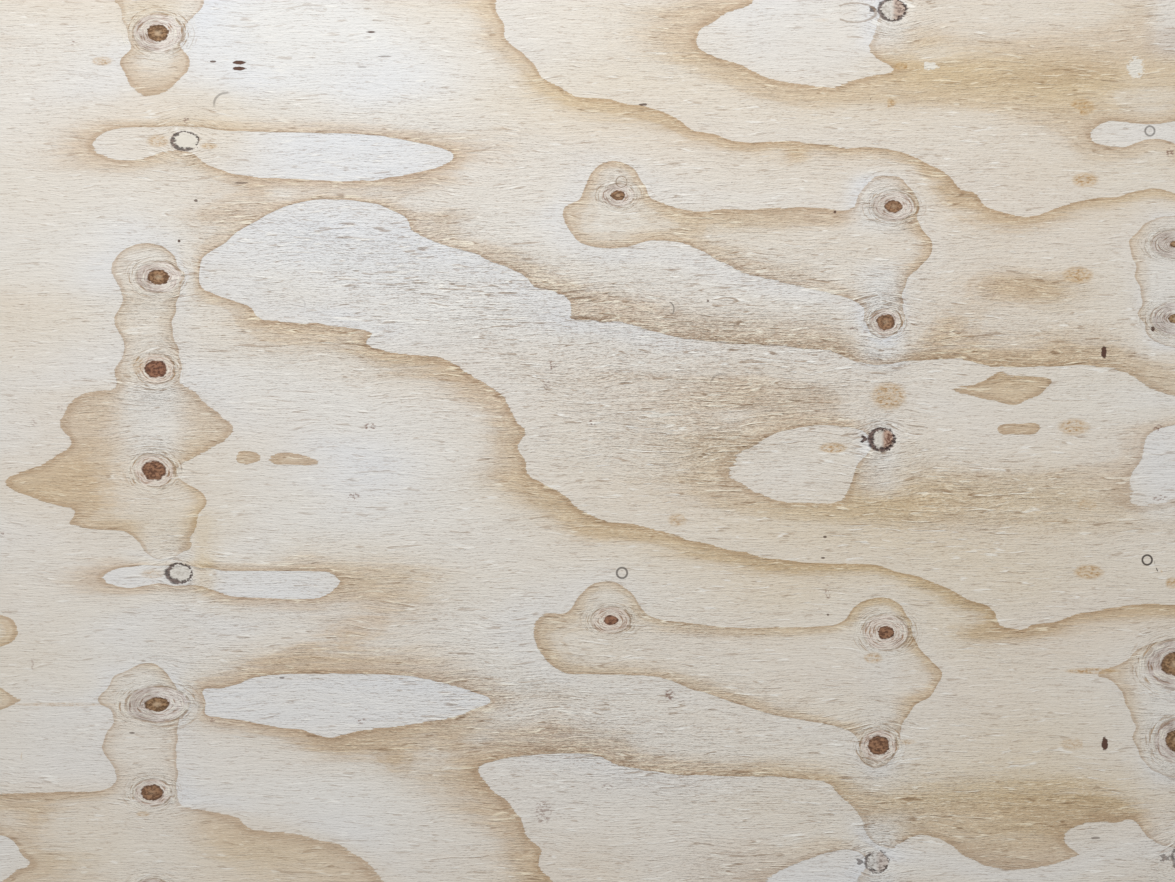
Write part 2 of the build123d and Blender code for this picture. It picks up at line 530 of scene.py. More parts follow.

# %% [markdown]
# Between the lines the field needs a few given values. Half a ring past a whole number is plain
# pale wood, just below a whole number is dark, and the knots sit in hollows.

# %% Values between the lines
RING_LEVELS = [  # across, down, ring value
    (60, 30, -.66), (250, 20, -.66), (350, 60, -.68), (440, 40, -.6), (60, 110, -.64), (300, 105, -.55),
    (420, 110, -.6), (480, 110, -.6), (340, 157, .2), (250, 155, .2), (420, 157, .15), (130, 145, .15),
    (30, 200, -.62), (100, 210, -.66), (150, 200, -.62), (60, 260, -.66), (60, 340, -.7), (30, 420, -.78),
    (20, 380, -.74), (158, 33, -1.6), (160, 65, -1.55), (158, 278, -1.62), (154, 330, -1.6),
    (154, 369, -1.62), (155, 420, -1.6), (154, 470, -1.55), (155, 505, -1.55), (95, 430, -1.14),
    (80, 480, -1.12), (40, 482, -1.1), (95, 512, -1.16), (208, 430, -1.16), (20, 560, -.62),
    (60, 620, -.62), (60, 680, -.68), (60, 750, -.8), (260, 400, -.62), (350, 420, -.6), (430, 430, -.55),
    (300, 500, -.62), (420, 520, -.6), (520, 560, -.6), (480, 600, -.6), (300, 540, -.6), (420, 580, -.3),
    (370, 588, -.15), (450, 590, -.45), (300, 650, -.18), (300, 618, -.5), (420, 640, -.42),
    (450, 740, -.1), (550, 730, -.14), (620, 740, -.16), (500, 680, -.42), (560, 700, -.3),
    (230, 780, -.6), (330, 800, -.62), (400, 820, -.6), (430, 860, -.55), (400, 760, -.16),
    (154, 705, -1.6), (152, 750, -1.58), (150, 792, -1.62), (140, 850, -1.58), (110, 870, -1.5),
    (40, 820, -1.12), (280, 860, -1.14), (230, 850, -1.16), (340, 870, -1.12), (580, 40, .3),
    (560, 10, .3), (610, 50, .45), (670, 25, .78), (640, 20, .62), (620, 90, .2), (720, 100, .4),
    (760, 120, .25), (850, 120, .3), (950, 125, .3), (800, 40, 1.3), (840, 60, 1.2), (760, 40, 1.2),
    (960, 75, .9), (1050, 60, .9), (1100, 80, .9), (1150, 60, .9), (920, 40, .75), (980, 22, .55),
    (1030, 10, .45), (1100, 34, .7), (1100, 12, .5), (950, 100, .8), (1060, 125, .8), (1030, 140, .4),
    (1090, 165, .6), (1000, 170, .28), (1150, 165, .5), (1140, 15, .8), (1168, 50, .98), (800, 165, -.45),
    (700, 175, -.62), (760, 185, -.6), (820, 190, -.62), (660, 145, -.5), (600, 130, -.55),
    (540, 160, -.6), (540, 200, -.6), (510, 170, -.5), (930, 180, -.3), (960, 220, -.4),
    (1030, 245, -.62), (1100, 230, -.62), (960, 260, -.62), (615, 225, -1.55), (618, 195, -1.6),
    (700, 228, -1.12), (780, 225, -1.16), (820, 245, -1.45), (860, 250, -1.55), (893, 206, -1.6),
    (800, 262, -1.35), (880, 270, -1.55), (885, 321, -1.6), (500, 240, -.45), (560, 262, -.6),
    (640, 270, -.6), (700, 290, -.6), (760, 305, -.55), (820, 315, -.5), (600, 300, -.14),
    (650, 315, -.16), (720, 330, -.14), (800, 332, -.14), (520, 255, -.4), (440, 222, -.14),
    (430, 190, -.3), (470, 200, -.5), (1030, 316, -.5), (980, 345, -.14), (1060, 345, -.12),
    (1110, 350, -.12), (940, 340, -.2), (1172, 245, -1.6), (1172, 320, -1.6), (1110, 300, -.5),
    (300, 260, .25), (380, 290, .3), (340, 300, .3), (390, 325, .2), (352, 306, .32), (366, 306, .32),
    (366, 322, .2), (352, 320, .12), (380, 322, .25), (410, 340, .18), (1010, 414, .22), (990, 414, .2),
    (1035, 413, .22), (230, 205, -.22), (262, 193, -.12), (350, 190, -.15), (205, 225, -.35),
    (60, 145, -.4), (30, 145, -.55), (8, 145, -.62), (68, 577, -.4), (40, 577, -.55), (8, 577, -.62),
    (505, 150, -.4), (1030, 389, -.12), (1000, 391, -.12), (1022, 430, -.12), (250, 457, -1.12),
    (290, 459, -1.12), (259, 446, -.8), (260, 470, -.8), (1038, 876, .12), (1022, 878, .12),
    (1055, 874, .12), (1000, 288, -.12), (1030, 284, -.08), (1060, 290, -.18), (1085, 296, -.4),
    (1040, 270, -.45), (1010, 306, -.42), (980, 286, -.3), (20, 452, -.85), (12, 510, -.8),
    (40, 440, -.85), (40, 516, -.8), (45, 425, -.85), (500, 320, .35), (600, 400, .5), (620, 375, .62),
    (580, 350, .5), (700, 400, .8), (780, 410, .88), (820, 405, .85), (660, 430, .6), (600, 450, .45),
    (560, 420, .35), (680, 465, .62), (720, 440, .85), (700, 490, .72), (640, 500, .35), (740, 520, .55),
    (800, 520, .65), (900, 505, .9), (980, 500, .86), (1060, 500, .82), (1110, 465, .72),
    (1090, 520, .72), (930, 470, .6), (900, 440, .5), (905, 405, .35), (960, 430, .3), (1080, 400, .3),
    (1150, 410, .35), (1060, 445, .4), (870, 540, .35), (1000, 545, .4), (1100, 560, .4), (1160, 540, .5),
    (790, 465, 1.2), (810, 480, 1.2), (760, 360, .3), (850, 380, .3), (870, 405, .35), (1160, 470, 1.15),
    (620, 550, -.6), (720, 575, -.62), (800, 600, -.62), (940, 625, -.5), (985, 645, -.35),
    (1050, 650, -.5), (1080, 655, -.5), (960, 700, -.68), (1040, 700, -.68), (603, 645, -1.5),
    (608, 620, -1.6), (700, 655, -1.45), (780, 660, -1.5), (840, 660, -1.5), (885, 632, -1.6),
    (880, 700, -1.5), (800, 695, -1.5), (879, 745, -1.6), (660, 705, -.6), (700, 715, -.6),
    (740, 735, -.55), (800, 745, -.6), (700, 765, -.14), (760, 765, -.16), (1000, 740, -.6),
    (1080, 740, -.6), (940, 805, -.1), (1040, 810, -.1), (980, 840, -.08), (1100, 805, -.12),
    (910, 815, -.16), (885, 795, -.3), (1172, 665, -1.6), (1167, 743, -1.6), (560, 800, .25),
    (640, 820, .35), (700, 850, .72), (760, 850, .8), (820, 815, .35), (840, 838, .6), (780, 835, .55),
    (620, 870, .4), (800, 878, 1.1), (1000, 882, .3), (1100, 870, .35), (1150, 870, .5), (320, 705, .25),
    (250, 700, .2), (430, 700, .2), (260, 585, .15), (320, 585, .12), (948, 328, -.12), (350, 638, -.12),
    (757, 397, .9), (797, 157, -.06), (975, 630, -.08),
]
print("values between the lines", len(RING_LEVELS))

# %% [markdown]
# Outside the window nobody knows the sheet, so it goes on as such a veneer does: the same log, whose
# pattern returns once a turn, with more whorls of branches along its length. This smooth guess is
# the start everywhere, and the lines above pull it into place where they are.

# %% The guess that the lines pull into place
TURN = 427.0  # one turn of the log, down the sheet
RINGS_PER_TURN = 0.27  # rings that the knife cuts through in a turn
SWELLS = (  # how often in a turn, size in rings, reach along the sheet
    (0, 0.30, 1500), (1, 0.75, 2600), (1, 0.30, 900), (2, 0.22, 700), (3, 0.08, 420),
)


def waves(x, y, seed):
    """A slow swell of the rings: it returns once a turn down the sheet and drifts along it."""
    random = np.random.default_rng(seed)
    total = np.zeros(np.broadcast(x, y).shape)
    for per_turn, size, reach in SWELLS:
        phase, drift = random.uniform(0, 2 * math.pi, 2)
        bent = 0.9 * np.sin(x / reach * 2 + drift)
        swell = size * np.cos(2 * math.pi * per_turn * y / TURN + phase + bent)
        total = total + swell * (0.7 + 0.3 * np.cos(2 * math.pi * x / reach + drift))
    return total


def first_guess(x, y, seed, hollows):
    """Ring values of plain wood, with a hollow round each knot."""
    guess = -0.35 - RINGS_PER_TURN * (y - VIEW_MIDDLE) / TURN + waves(x, y, seed)
    for across, down, wide, high in hollows:
        apart = ((x - across) / (2.3 * wide)) ** 2 + ((y - down) / (2.5 * high)) ** 2
        guess = guess - 0.8 * np.exp(-apart / 2)
    return guess


# %% [markdown]
# ## Knots
#
# Each knot is a branch that the knife cut through. A sound one has a red-brown heart inside pale
# rings. A dead one keeps its bark, as a black or grey ring. They come in whorls, so they stand in
# columns across the sheet and return with each turn.

# %% Where the knots are
SOUND, BARK, RIM = 0, 1, 2
KNOTS = [  # across, down, half width, half height of the heart, kind, redness, halo or bark fill
    (158, 33, 11, 8.5, SOUND, .35, 2.3), (158.5, 277, 11, 7.6, SOUND, .45, 2.1),
    (156, 369, 11, 8.9, SOUND, .95, 1.7), (154, 470.5, 11.7, 9.8, SOUND, .8, 1.7),
    (157, 704.5, 12.3, 7.1, SOUND, .3, 2.6), (152, 792.7, 11, 7.9, SOUND, .6, 1.75),
    (151, 893, 11, 8, SOUND, .5, 1.8), (618, 195.3, 7.1, 5, SOUND, .5, 2.3),
    (610.8, 620.2, 7.4, 5, SOUND, .9, 2.7), (893.5, 206.4, 9, 6.2, SOUND, .55, 2.4),
    (886, 322, 9.4, 7.9, SOUND, .55, 1.7), (886, 632.7, 8.2, 6.4, SOUND, .75, 2.8),
    (878.8, 745.4, 10.7, 9.4, SOUND, .7, 1.7), (1176, 244, 6, 3.4, SOUND, .35, 4.2),
    (1175.5, 318.6, 7, 4.6, SOUND, .1, 3.6), (1176, 664.5, 14.5, 12, SOUND, .3, 2.1),
    (1178, 740.5, 12, 11.5, SOUND, .3, 1.95), (185, 140.6, 12.8, 9, RIM, .75, 0),
    (179.5, 573.4, 12.3, 9.2, RIM, .8, .4), (893, 9.3, 13.3, 10.7, BARK, .7, .45),
    (882.4, 439, 12, 10.8, BARK, 1, .3), (877, 862, 11.5, 10.6, BARK, .35, .75),
    (1187, 858, 15, 13, BARK, .2, .7), (156, -58, 11, 8, SOUND, .6, 1.9),
    (156, -150, 11, 8, SOUND, .4, 2.2), (181, 1000, 13, 9, BARK, .5, .7), (886, -107, 9, 8, SOUND, .4, 2),
    (1174, -108, 8, 5, SOUND, .2, 2.8),
]
FACE_WHORLS = (-556, -262, 1432, 1668)  # columns of knots beyond the window
BACK_WHORLS = (-480, -150, 260, 700, 1010, 1500)
SHEET_DOWN = (-160, 1042)  # where knots are wanted, down the sheet


def whorl_knots(columns, seed):
    """Knots in columns, three to a turn, that return with the log's turns."""
    random = np.random.default_rng(seed)
    found = []
    for column in columns:
        for spot in np.cumsum(random.uniform(82, 150, 3)) + random.uniform(0, 200):
            wide = random.uniform(8, 13)
            kind = SOUND if random.uniform() < 0.72 else BARK
            for turn in range(-2, 4):
                down = spot + turn * (TURN + random.uniform(-4, 4))
                if SHEET_DOWN[0] < down < SHEET_DOWN[1]:
                    redness = random.uniform(0.2, 0.9)
                    ring = random.uniform(1.7, 2.6) if kind == SOUND else random.uniform(0.2, 1)
                    across = column + random.uniform(-6, 6)
                    found.append((across, down, wide, wide * 0.72, kind, redness, ring))
    return found


outer_knots = whorl_knots(FACE_WHORLS, seed=5)
face_knots = KNOTS + outer_knots
back_knots = whorl_knots(BACK_WHORLS, seed=11)
print("knots", len(face_knots), "on the face,", len(back_knots), "on the back")

# %% [markdown]
# ## Solving the field
#
# The lines and values are joined by kriging: every known spot pulls on its neighbourhood, far along
# the grain and less across it, and a slow pull returns once a turn. It is one set of linear
# equations. Because each pull is a product of an x part and a y part, the field is then quick to
# read on any grid.

# %% The known spots
LINE_STEP, FADE_STEP = 11.5, 30  # how far apart the spots are on a line, and beside it
PALE_SIDE = 8  # how far the spots on a line's pale side are from it
FIRM, HELD, LOOSE = 0.004, 0.06, 0.12  # how loosely a value is held


def known_spots():
    """Places, ring values and how loosely each is held."""
    places, values, slack = [], [], []

    def know(spots, value, loose):
        places.extend(spots)
        values.extend([value] * len(spots))
        slack.extend([loose] * len(spots))

    for level, fades, points in RING_LINES.values():
        line = np.array(points, float)
        walked = np.concatenate([[0], np.cumsum(np.hypot(*np.diff(line, axis=0).T))])
        end = walked[-1]

        def along(at):
            return np.stack([np.interp(at, walked, line[:, 0]), np.interp(at, walked, line[:, 1])], 1)

        know(along(np.linspace(0, end, max(3, int(end / LINE_STEP)))), level, FIRM)
        at = np.linspace(0, end, max(4, int(end / FADE_STEP)))[1:-1]
        way = along(at + 9) - along(at - 9)
        way /= np.hypot(*way.T)[:, None] + 1e-9
        right = np.stack([-way[:, 1], way[:, 0]], 1)
        shares = np.linspace(0, 1, len(fades))
        fade = np.interp(at / end, shares, np.abs(fades))[:, None]
        lasting = np.interp(at / end, shares, np.sign(fades)) < 0
        know((along(at) + right * fade)[lasting], level - 0.13, HELD)
        know((along(at) + right * fade * 0.45)[~lasting], level - 0.2, HELD)
        know((along(at) + right * fade)[~lasting], level - 0.5, LOOSE)
        know(along(at) - right * PALE_SIDE, level + 0.12, 0.05)
    for across, down, value in RING_LEVELS:
        know([(across, down)], value, HELD)
    return np.array(places, float), np.array(values, float), np.array(slack, float)


spots, ring_values, slack = known_spots()
print("known spots", len(spots))

# %% Solve for the pulls
PULLS = (  # strength, reach along the grain, reach across it
    (0.50, 260.0, None), (0.16, 75.0, 30.0), (0.05, 26.0, 13.0), (0.012, 10.0, 7.0),
)
FACE_SEED = 3


def bell(a, b, reach):
    return np.exp(-0.5 * ((a[:, None] - b[None, :]) / reach) ** 2)


def down_part(a, b, reach):
    """A pull across the grain. Without a reach it returns once a turn of the log."""
    if reach:
        return bell(a, b, reach)
    return bell(a, b, 900.0) * np.exp(-2.6 * np.sin(np.pi * (a[:, None] - b[None, :]) / TURN) ** 2)


outer_hollows = [knot[:4] for knot in outer_knots]
likeness = sum(
    strength * bell(spots[:, 0], spots[:, 0], along) * down_part(spots[:, 1], spots[:, 1], across)
    for strength, along, across in PULLS
)
missing = ring_values - first_guess(spots[:, 0], spots[:, 1], FACE_SEED, outer_hollows)
pull = np.linalg.solve(likeness + np.diag(slack**2), missing)
print("largest miss", round(float(np.abs(likeness @ pull - missing).max()), 3), "rings")


def rings_on(columns, rows):
    """The ring field on a grid of columns and rows, in millimetres of the view."""
    field = first_guess(columns[None, :], rows[:, None], FACE_SEED, outer_hollows)
    for strength, along, across in PULLS:
        down = down_part(rows, spots[:, 1], across) * pull * strength
        field += np.einsum("rk,ck->rc", down, bell(columns, spots[:, 0], along))
    return field


# %% [markdown]
# ## The blank
#
# The sheet starts as a cube primitive at the slab's own size. Its edges get the small bevel that
# handling gives, planes cut it at each glue line, and those loops are pulled in a little, because
# glue and end grain sit slightly back on a sawn edge.

# %% The blank and its plies
PLIES = 7
ply = thickness / PLIES
ARRIS = 0.5 * MM
GLUE_HALF = 0.12 * MM
GLUE_DEPTH = 0.22 * MM

bpy.ops.object.select_all(action="DESELECT")
bpy.ops.mesh.primitive_cube_add(size=1, location=middle, scale=(length, width, thickness))
sheet = bpy.context.object
sheet.name = "pine_sheet"
bpy.ops.object.transform_apply(location=True, rotation=True, scale=True)
tools = bpy.context.tool_settings
tools.mesh_select_mode = (True, False, False)
bpy.ops.object.mode_set(mode="EDIT")
bpy.ops.mesh.select_all(action="SELECT")
bpy.ops.mesh.bevel(offset=ARRIS, segments=2, affect="EDGES")
glue_lines = [low[2] + ply * number for number in range(1, PLIES)]
for line in glue_lines:
    for shift in (-GLUE_HALF, 0, GLUE_HALF):
        bpy.ops.mesh.select_all(action="SELECT")
        bpy.ops.mesh.bisect(plane_co=(0, 0, line + shift), plane_no=(0, 0, 1))
bpy.ops.object.mode_set(mode="OBJECT")
print("blank", len(sheet.data.vertices), "vertices")


# %% Pull the glue lines in
def vertex_places(piece):
    places = np.empty(len(piece.data.vertices) * 3)
    piece.data.vertices.foreach_get("co", places)
    return places.reshape(-1, 3)


def pick(piece, kind, wanted):
    """Selects the vertices or the polygons for which wanted is true, and nothing else."""
    mesh = piece.data
    for part in (mesh.vertices, mesh.edges, mesh.polygons):
        part.foreach_set("select", np.zeros(len(part), bool))
    getattr(mesh, kind).foreach_set("select", wanted)
    tools.mesh_select_mode = (kind == "vertices", False, kind == "polygons")
    bpy.ops.object.mode_set(mode="EDIT")


narrower = (1 - 2 * GLUE_DEPTH / length, 1 - 2 * GLUE_DEPTH / width, 1)
for line in glue_lines:
    pick(sheet, "vertices", np.abs(vertex_places(sheet)[:, 2] - line) < 0.2 * GLUE_HALF)
    bpy.ops.transform.resize(value=narrower, center_override=(0, 0, line))
    bpy.ops.object.mode_set(mode="OBJECT")
print("glue lines", len(glue_lines))

# %% [markdown]
# ## Small marks
#
# Between the knots a pine veneer has small marks of many kinds: resin dashes, the rings that cone
# stems leave, stains, pale scars, groups of specks, and thin arcs where the fibres bend. Their
# places come before the grid is cut, because it has to be fine round the sharp ones.

# %% Where the small marks are
DASH, RING, STAIN, PALE, SPECKS, PAIR, ARC, LOOP = range(8)
MARKS = {  # across, down, half width, half height, strength, and an arc's direction in degrees
    DASH: [
        (213, 61.5, 3.5, 1.1, .7), (371, 32, 5, 1, .8), (385, 56.5, 7, .9, .35), (362, 67, 6, .9, .25),
        (1104, 352, 2.8, 6.5, 1), (1105, 744, 3.2, 7.5, 1), (1066, 112, 1.6, 1.6, .7),
        (179, 241, 1.6, 1.6, .8), (196, 200.5, 2, 1.6, .6), (643, 104.5, 4.5, 1.4, .7),
        (708, 301, 1.4, 1.4, .6), (835, 212, 1.5, 1.5, .8), (733, 182.6, 6, .9, .3),
        (1096, 838, 5, 1.4, .4), (132, 733, 3, 1, .5), (282, 678, 3, 1, .5), (873, 99, 3, 1.4, .5),
        (825, 537, 2, 1.2, .7), (823, 558, 2, 1, .7), (828, 615, 1.2, 1.2, .5), (1153, 329, 2, 2.6, .8),
        (241, 183, 8, 1, .5),
    ],
    PAIR: [(239, 65.5, 7.5, 5.5, 1)],
    RING: [(1150, 131, 4.7, 4.7, .65), (1147.3, 560, 4.8, 4.8, 1), (622, 573, 5.2, 5.2, .8)],
    ARC: [
        (226, 104, 12, 11, .5, 135), (722, 384, 11, 10, .35, 120), (668, 309, 6, 7, .7, 20),
        (298, 305, 7, 7, .25, 30),
    ],
    LOOP: [(855, 12.5, 21, 9.5, .8), (621.5, 181.7, 5.5, 5.5, 1)],
    PALE: [
        (735, 200.5, 15, 1.3, .9), (664, 414.6, 15, 1.3, 1), (928.5, 66, 9, 3.8, 1),
        (1135.5, 67.5, 8, 10, 1),
    ],
    STAIN: [
        (677, 520, 10, 7, .7), (1085, 180, 14, 8, 1), (1082, 107, 14, 9, 1), (888, 103, 9, 5, 1),
        (1078, 275, 17, 9, 1), (902, 66, 9, 4, 1), (158, 141, 12, 7, .7), (209, 146, 9, 3.5, .9),
        (1092, 671, 29, 3.4, 1), (152, 574, 12, 5, .5), (1074, 427, 17, 9, .9), (1089, 572, 16, 8, 1),
        (1072, 744, 13, 7, .5), (1087, 505, 11, 6, .5), (102, 61, 11, 5, .8), (25, 757, 5, 4, .9),
        (143, 814, 7, 3, .8), (62, 704.5, 56, 2.2, .45), (1172, 583, 7, 6, 1), (889, 396, 19, 15, 1),
        (833, 448, 15, 6, 1), (138, 365, 7, 9, .5), (873, 658, 10, 6, .8), (822, 20, 10, 2, .2),
        (906, 742, 10, 3, .6), (500, 128, 9, 3, .15),
    ],
    SPECKS: [
        (72, 42, 3, 3, .9), (186, 120, 3, 4, .8), (592, 423, 4, 3.5, 1), (370, 427, 6, 4, 1),
        (353, 497, 7, 5, .8), (551, 366, 6, 5, .9), (546, 386, 5, 8, .6), (670, 695, 5, 6, 1),
        (543, 812, 9, 12, .7), (853, 330, 5, 4, .8), (211, 720, 5, 2, .8), (362, 721, 6, 3, .8),
        (828, 592, 3, 8, .8), (1158, 428, 5, 4, 1), (1160, 498, 8, 3, .8), (20, 368, 3, 3, .5),
        (60, 408, 3, 4, .5), (34, 422, 3, 4, .5), (34, 670, 3, 22, .6), (1, 534, 5, 3, .9),
        (1170, 152, 4, 5, 1), (607, 787, 7, 3, .6),
    ],
}
USUAL_SIZES = {DASH: (3.5, 1.1), SPECKS: (5, 4), STAIN: (13, 7), RING: (4.6, 4.6)}
WINDOW_MARGIN = 20


def scattered_marks(count, seed):
    """A few more small marks for the sheet beyond the window."""
    random = np.random.default_rng(seed)
    found = []
    while len(found) < count:
        across, down = random.uniform(-620, 1795), random.uniform(-160, 1040)
        window = ((across, VIEW_WIDE), (down, VIEW_HIGH))
        if all(-WINDOW_MARGIN < place < side + WINDOW_MARGIN for place, side in window):
            continue
        kind = int(random.choice([DASH, SPECKS, STAIN, RING, DASH, SPECKS]))
        found.append((across, down, *USUAL_SIZES[kind], kind, random.uniform(0.5, 1.0), 0))
    return found


face_marks = [
    (*mark[:4], kind, mark[4], mark[5] if kind == ARC else 0)
    for kind, group in MARKS.items()
    for mark in group
]
face_marks += scattered_marks(46, seed=21)
print("marks", len(face_marks))

# %% [markdown]
# ## A grid that is finest where the figure is
#
# The ring field, the knots and the marks are written on the vertices, so the top needs a grid. A
# plain fine grid would waste most of its faces on calm wood. The top is split evenly first, and then
# again only near ring lines, knots and sharp marks.


# %% Distances to the figure
def grid_through(x, y):
    """The columns and rows of places in metres, and which of them each place is on."""
    columns, column = np.unique(np.round(across_view(x), 2), return_inverse=True)
    rows, row = np.unique(np.round(down_view(y), 2), return_inverse=True)
    return columns, column, rows, row


def ring_distance(x, y):
    """Rough distance to the nearest ring line in millimetres, at face places in metres."""
    columns, column, rows, row = grid_through(x, y)
    field = rings_on(columns, rows)
    down, across = np.gradient(field, rows, columns)
    steep = np.hypot(down, across) + 1e-4
    return (np.abs(field - np.round(field)) / steep)[row, column]


def middle_distances(x, y, features):
    """Distances to the middles of all features, in millimetres."""
    table = np.array([feature[:2] for feature in features], float)
    return np.hypot(across_view(x)[:, None] - table[:, 0], down_view(y)[:, None] - table[:, 1])


def near_sharp_mark(x, y, margin=6):
    """If a face lies within the margin of a small mark that isn't a soft patch."""
    sharp = [mark for mark in face_marks if mark[4] not in (STAIN, SPECKS)]
    reach = np.array([max(mark[2:4]) for mark in sharp])
    return (middle_distances(x, y, sharp) - reach < margin).any(axis=1)


def in_view(x, y):
    across, down = across_view(x), down_view(y)
    return (across > 0) & (across < VIEW_WIDE) & (down > 0) & (down < VIEW_HIGH)


# %% Split the faces
BORDER = 3 * MM
UPRIGHT = 0.99
FACE_CUTS, BACK_CUTS = 100, 60
EVERYWHERE = 1e6
SPLITS = (  # reach of ring lines, reach of knots, if marks count, if also outside the window
    (EVERYWHERE, EVERYWHERE, False, True), (9, 30, True, True), (4, 22, False, False),
)


def face_facts(piece):
    """Centres, the upward part of the normals, and the number of corners of all faces."""
    faces = piece.data.polygons
    centres, normals = np.empty(len(faces) * 3), np.empty(len(faces) * 3)
    corners = np.empty(len(faces), int)
    faces.foreach_get("center", centres)
    faces.foreach_get("normal", normals)
    faces.foreach_get("loop_total", corners)
    return centres.reshape(-1, 3), normals.reshape(-1, 3)[:, 2], corners


for side, cuts in ((1, FACE_CUTS), (-1, BACK_CUTS)):
    centres, up, corners = face_facts(sheet)
    pick(sheet, "polygons", up * side > UPRIGHT)
    bpy.ops.mesh.inset(thickness=BORDER)
    bpy.ops.mesh.subdivide(number_cuts=cuts)
    bpy.ops.object.mode_set(mode="OBJECT")

for line_reach, knot_reach, marks_count, outside_too in SPLITS:
    centres, up, corners = face_facts(sheet)
    x, y = centres[:, 0], centres[:, 1]
    inner = (np.abs(x) < length / 2 - BORDER * 1.3) & (np.abs(y) < width / 2 - BORDER * 1.3)
    inner &= (up > UPRIGHT) & (corners == 4)
    x, y = x[inner], y[inner]
    wanted = ring_distance(x, y) < line_reach
    wanted |= middle_distances(x, y, face_knots).min(axis=1) < knot_reach
    if marks_count:
        wanted |= near_sharp_mark(x, y)
    if not outside_too:
        wanted &= in_view(x, y)
    near = np.zeros(len(inner), bool)
    near[inner] = wanted
    pick(sheet, "polygons", near)
    bpy.ops.mesh.subdivide(number_cuts=1)
    bpy.ops.object.mode_set(mode="OBJECT")
    print("split", int(near.sum()), "faces, now", len(sheet.data.polygons))

# %% [markdown]
# ## Writing the figure on the mesh
#
# Four things go on the vertices: the ring field, the grain's own y coordinate, which bends round
# each knot, where the vertex lies from its nearest knot, and where it lies from its nearest small
# mark. A material reads them between the vertices as smoothly as it reads a position.


# %% Nearest features and the bent grain
def nearest(x, y, features, margin):
    """Each vertex's place from its nearest feature, in halves of its size, its row, and if it is near."""
    table = np.array(features, float)
    across, down = across_view(x), down_view(y)
    best, second = np.full(len(x), np.inf), np.full(len(x), np.inf)
    owner = np.zeros(len(x), int)
    for number, (ax, dy, wide, high) in enumerate(table[:, :4]):
        apart = np.hypot(across - ax, down - dy) - max(wide, high)
        closer = apart < best
        second = np.minimum(second, np.maximum(best, apart))
        best[closer], owner[closer] = apart[closer], number
    mine = table[owner]
    place = np.stack([(across - mine[:, 0]) / mine[:, 2], (mine[:, 1] - down) / mine[:, 3]], 1)
    return place, mine, ((best < margin) & (second - best > 7)).astype(float)


def grain_line(x, y, knots):
    """The y coordinate, in metres, that a fibre keeps while it bends round the knots."""
    across, down = across_view(x), down_view(y)
    bent = down.copy()
    for ax, dy, wide, high, *_ in knots:
        radius = 1.5 * (wide + high) / 2
        apart = ((across - ax) ** 2 + (down - dy) ** 2) / radius**2
        bent -= (down - dy) / (1 + apart) * np.exp(-apart / 18)
    return (VIEW_MIDDLE - bent) * MM


# %% Write the figure
BACK_SEED = 8
KNOT_MARGIN, MARK_MARGIN = 36, 10  # how far round a feature its place is known


def write(piece, name, values):
    """Keeps numbers, or rows of three, on the vertices."""
    kind, key = ("FLOAT_VECTOR", "vector") if values.ndim == 2 else ("FLOAT", "value")
    layer = piece.data.attributes.new(name, kind, "POINT")
    layer.data.foreach_set(key, np.ascontiguousarray(values, float).ravel())


x, y, z = vertex_places(sheet).T
on_back = z < middle[2]
rings = first_guess(across_view(x), down_view(y), BACK_SEED, [knot[:4] for knot in back_knots])
columns, column, rows, row = grid_through(x[~on_back], y[~on_back])
rings[~on_back] = rings_on(columns, rows)[row, column]
print("ring field read on", len(columns), "x", len(rows))

grain = np.where(on_back, grain_line(x, y, back_knots), grain_line(x, y, face_knots))
knot_place, knot_row, knot_near = nearest(x, y, face_knots, KNOT_MARGIN)
back_facts = nearest(x, y, back_knots, KNOT_MARGIN)
for facts, back in zip((knot_place, knot_row, knot_near), back_facts):
    facts[on_back] = back[on_back]
mark_place, mark_row, mark_near = nearest(x, y, face_marks, MARK_MARGIN)
mark_near[on_back] = 0

write(sheet, "rings", rings)
write(sheet, "grain", grain)
write(sheet, "knot", np.column_stack([knot_place, knot_near]))
write(sheet, "knot_kind", knot_row[:, 4:7])
write(sheet, "mark", np.column_stack([mark_place, mark_near]))
write(sheet, "mark_kind", mark_row[:, 4:7])
print("written on", len(x), "vertices, rings from", round(rings.min(), 2), "to", round(rings.max(), 2))
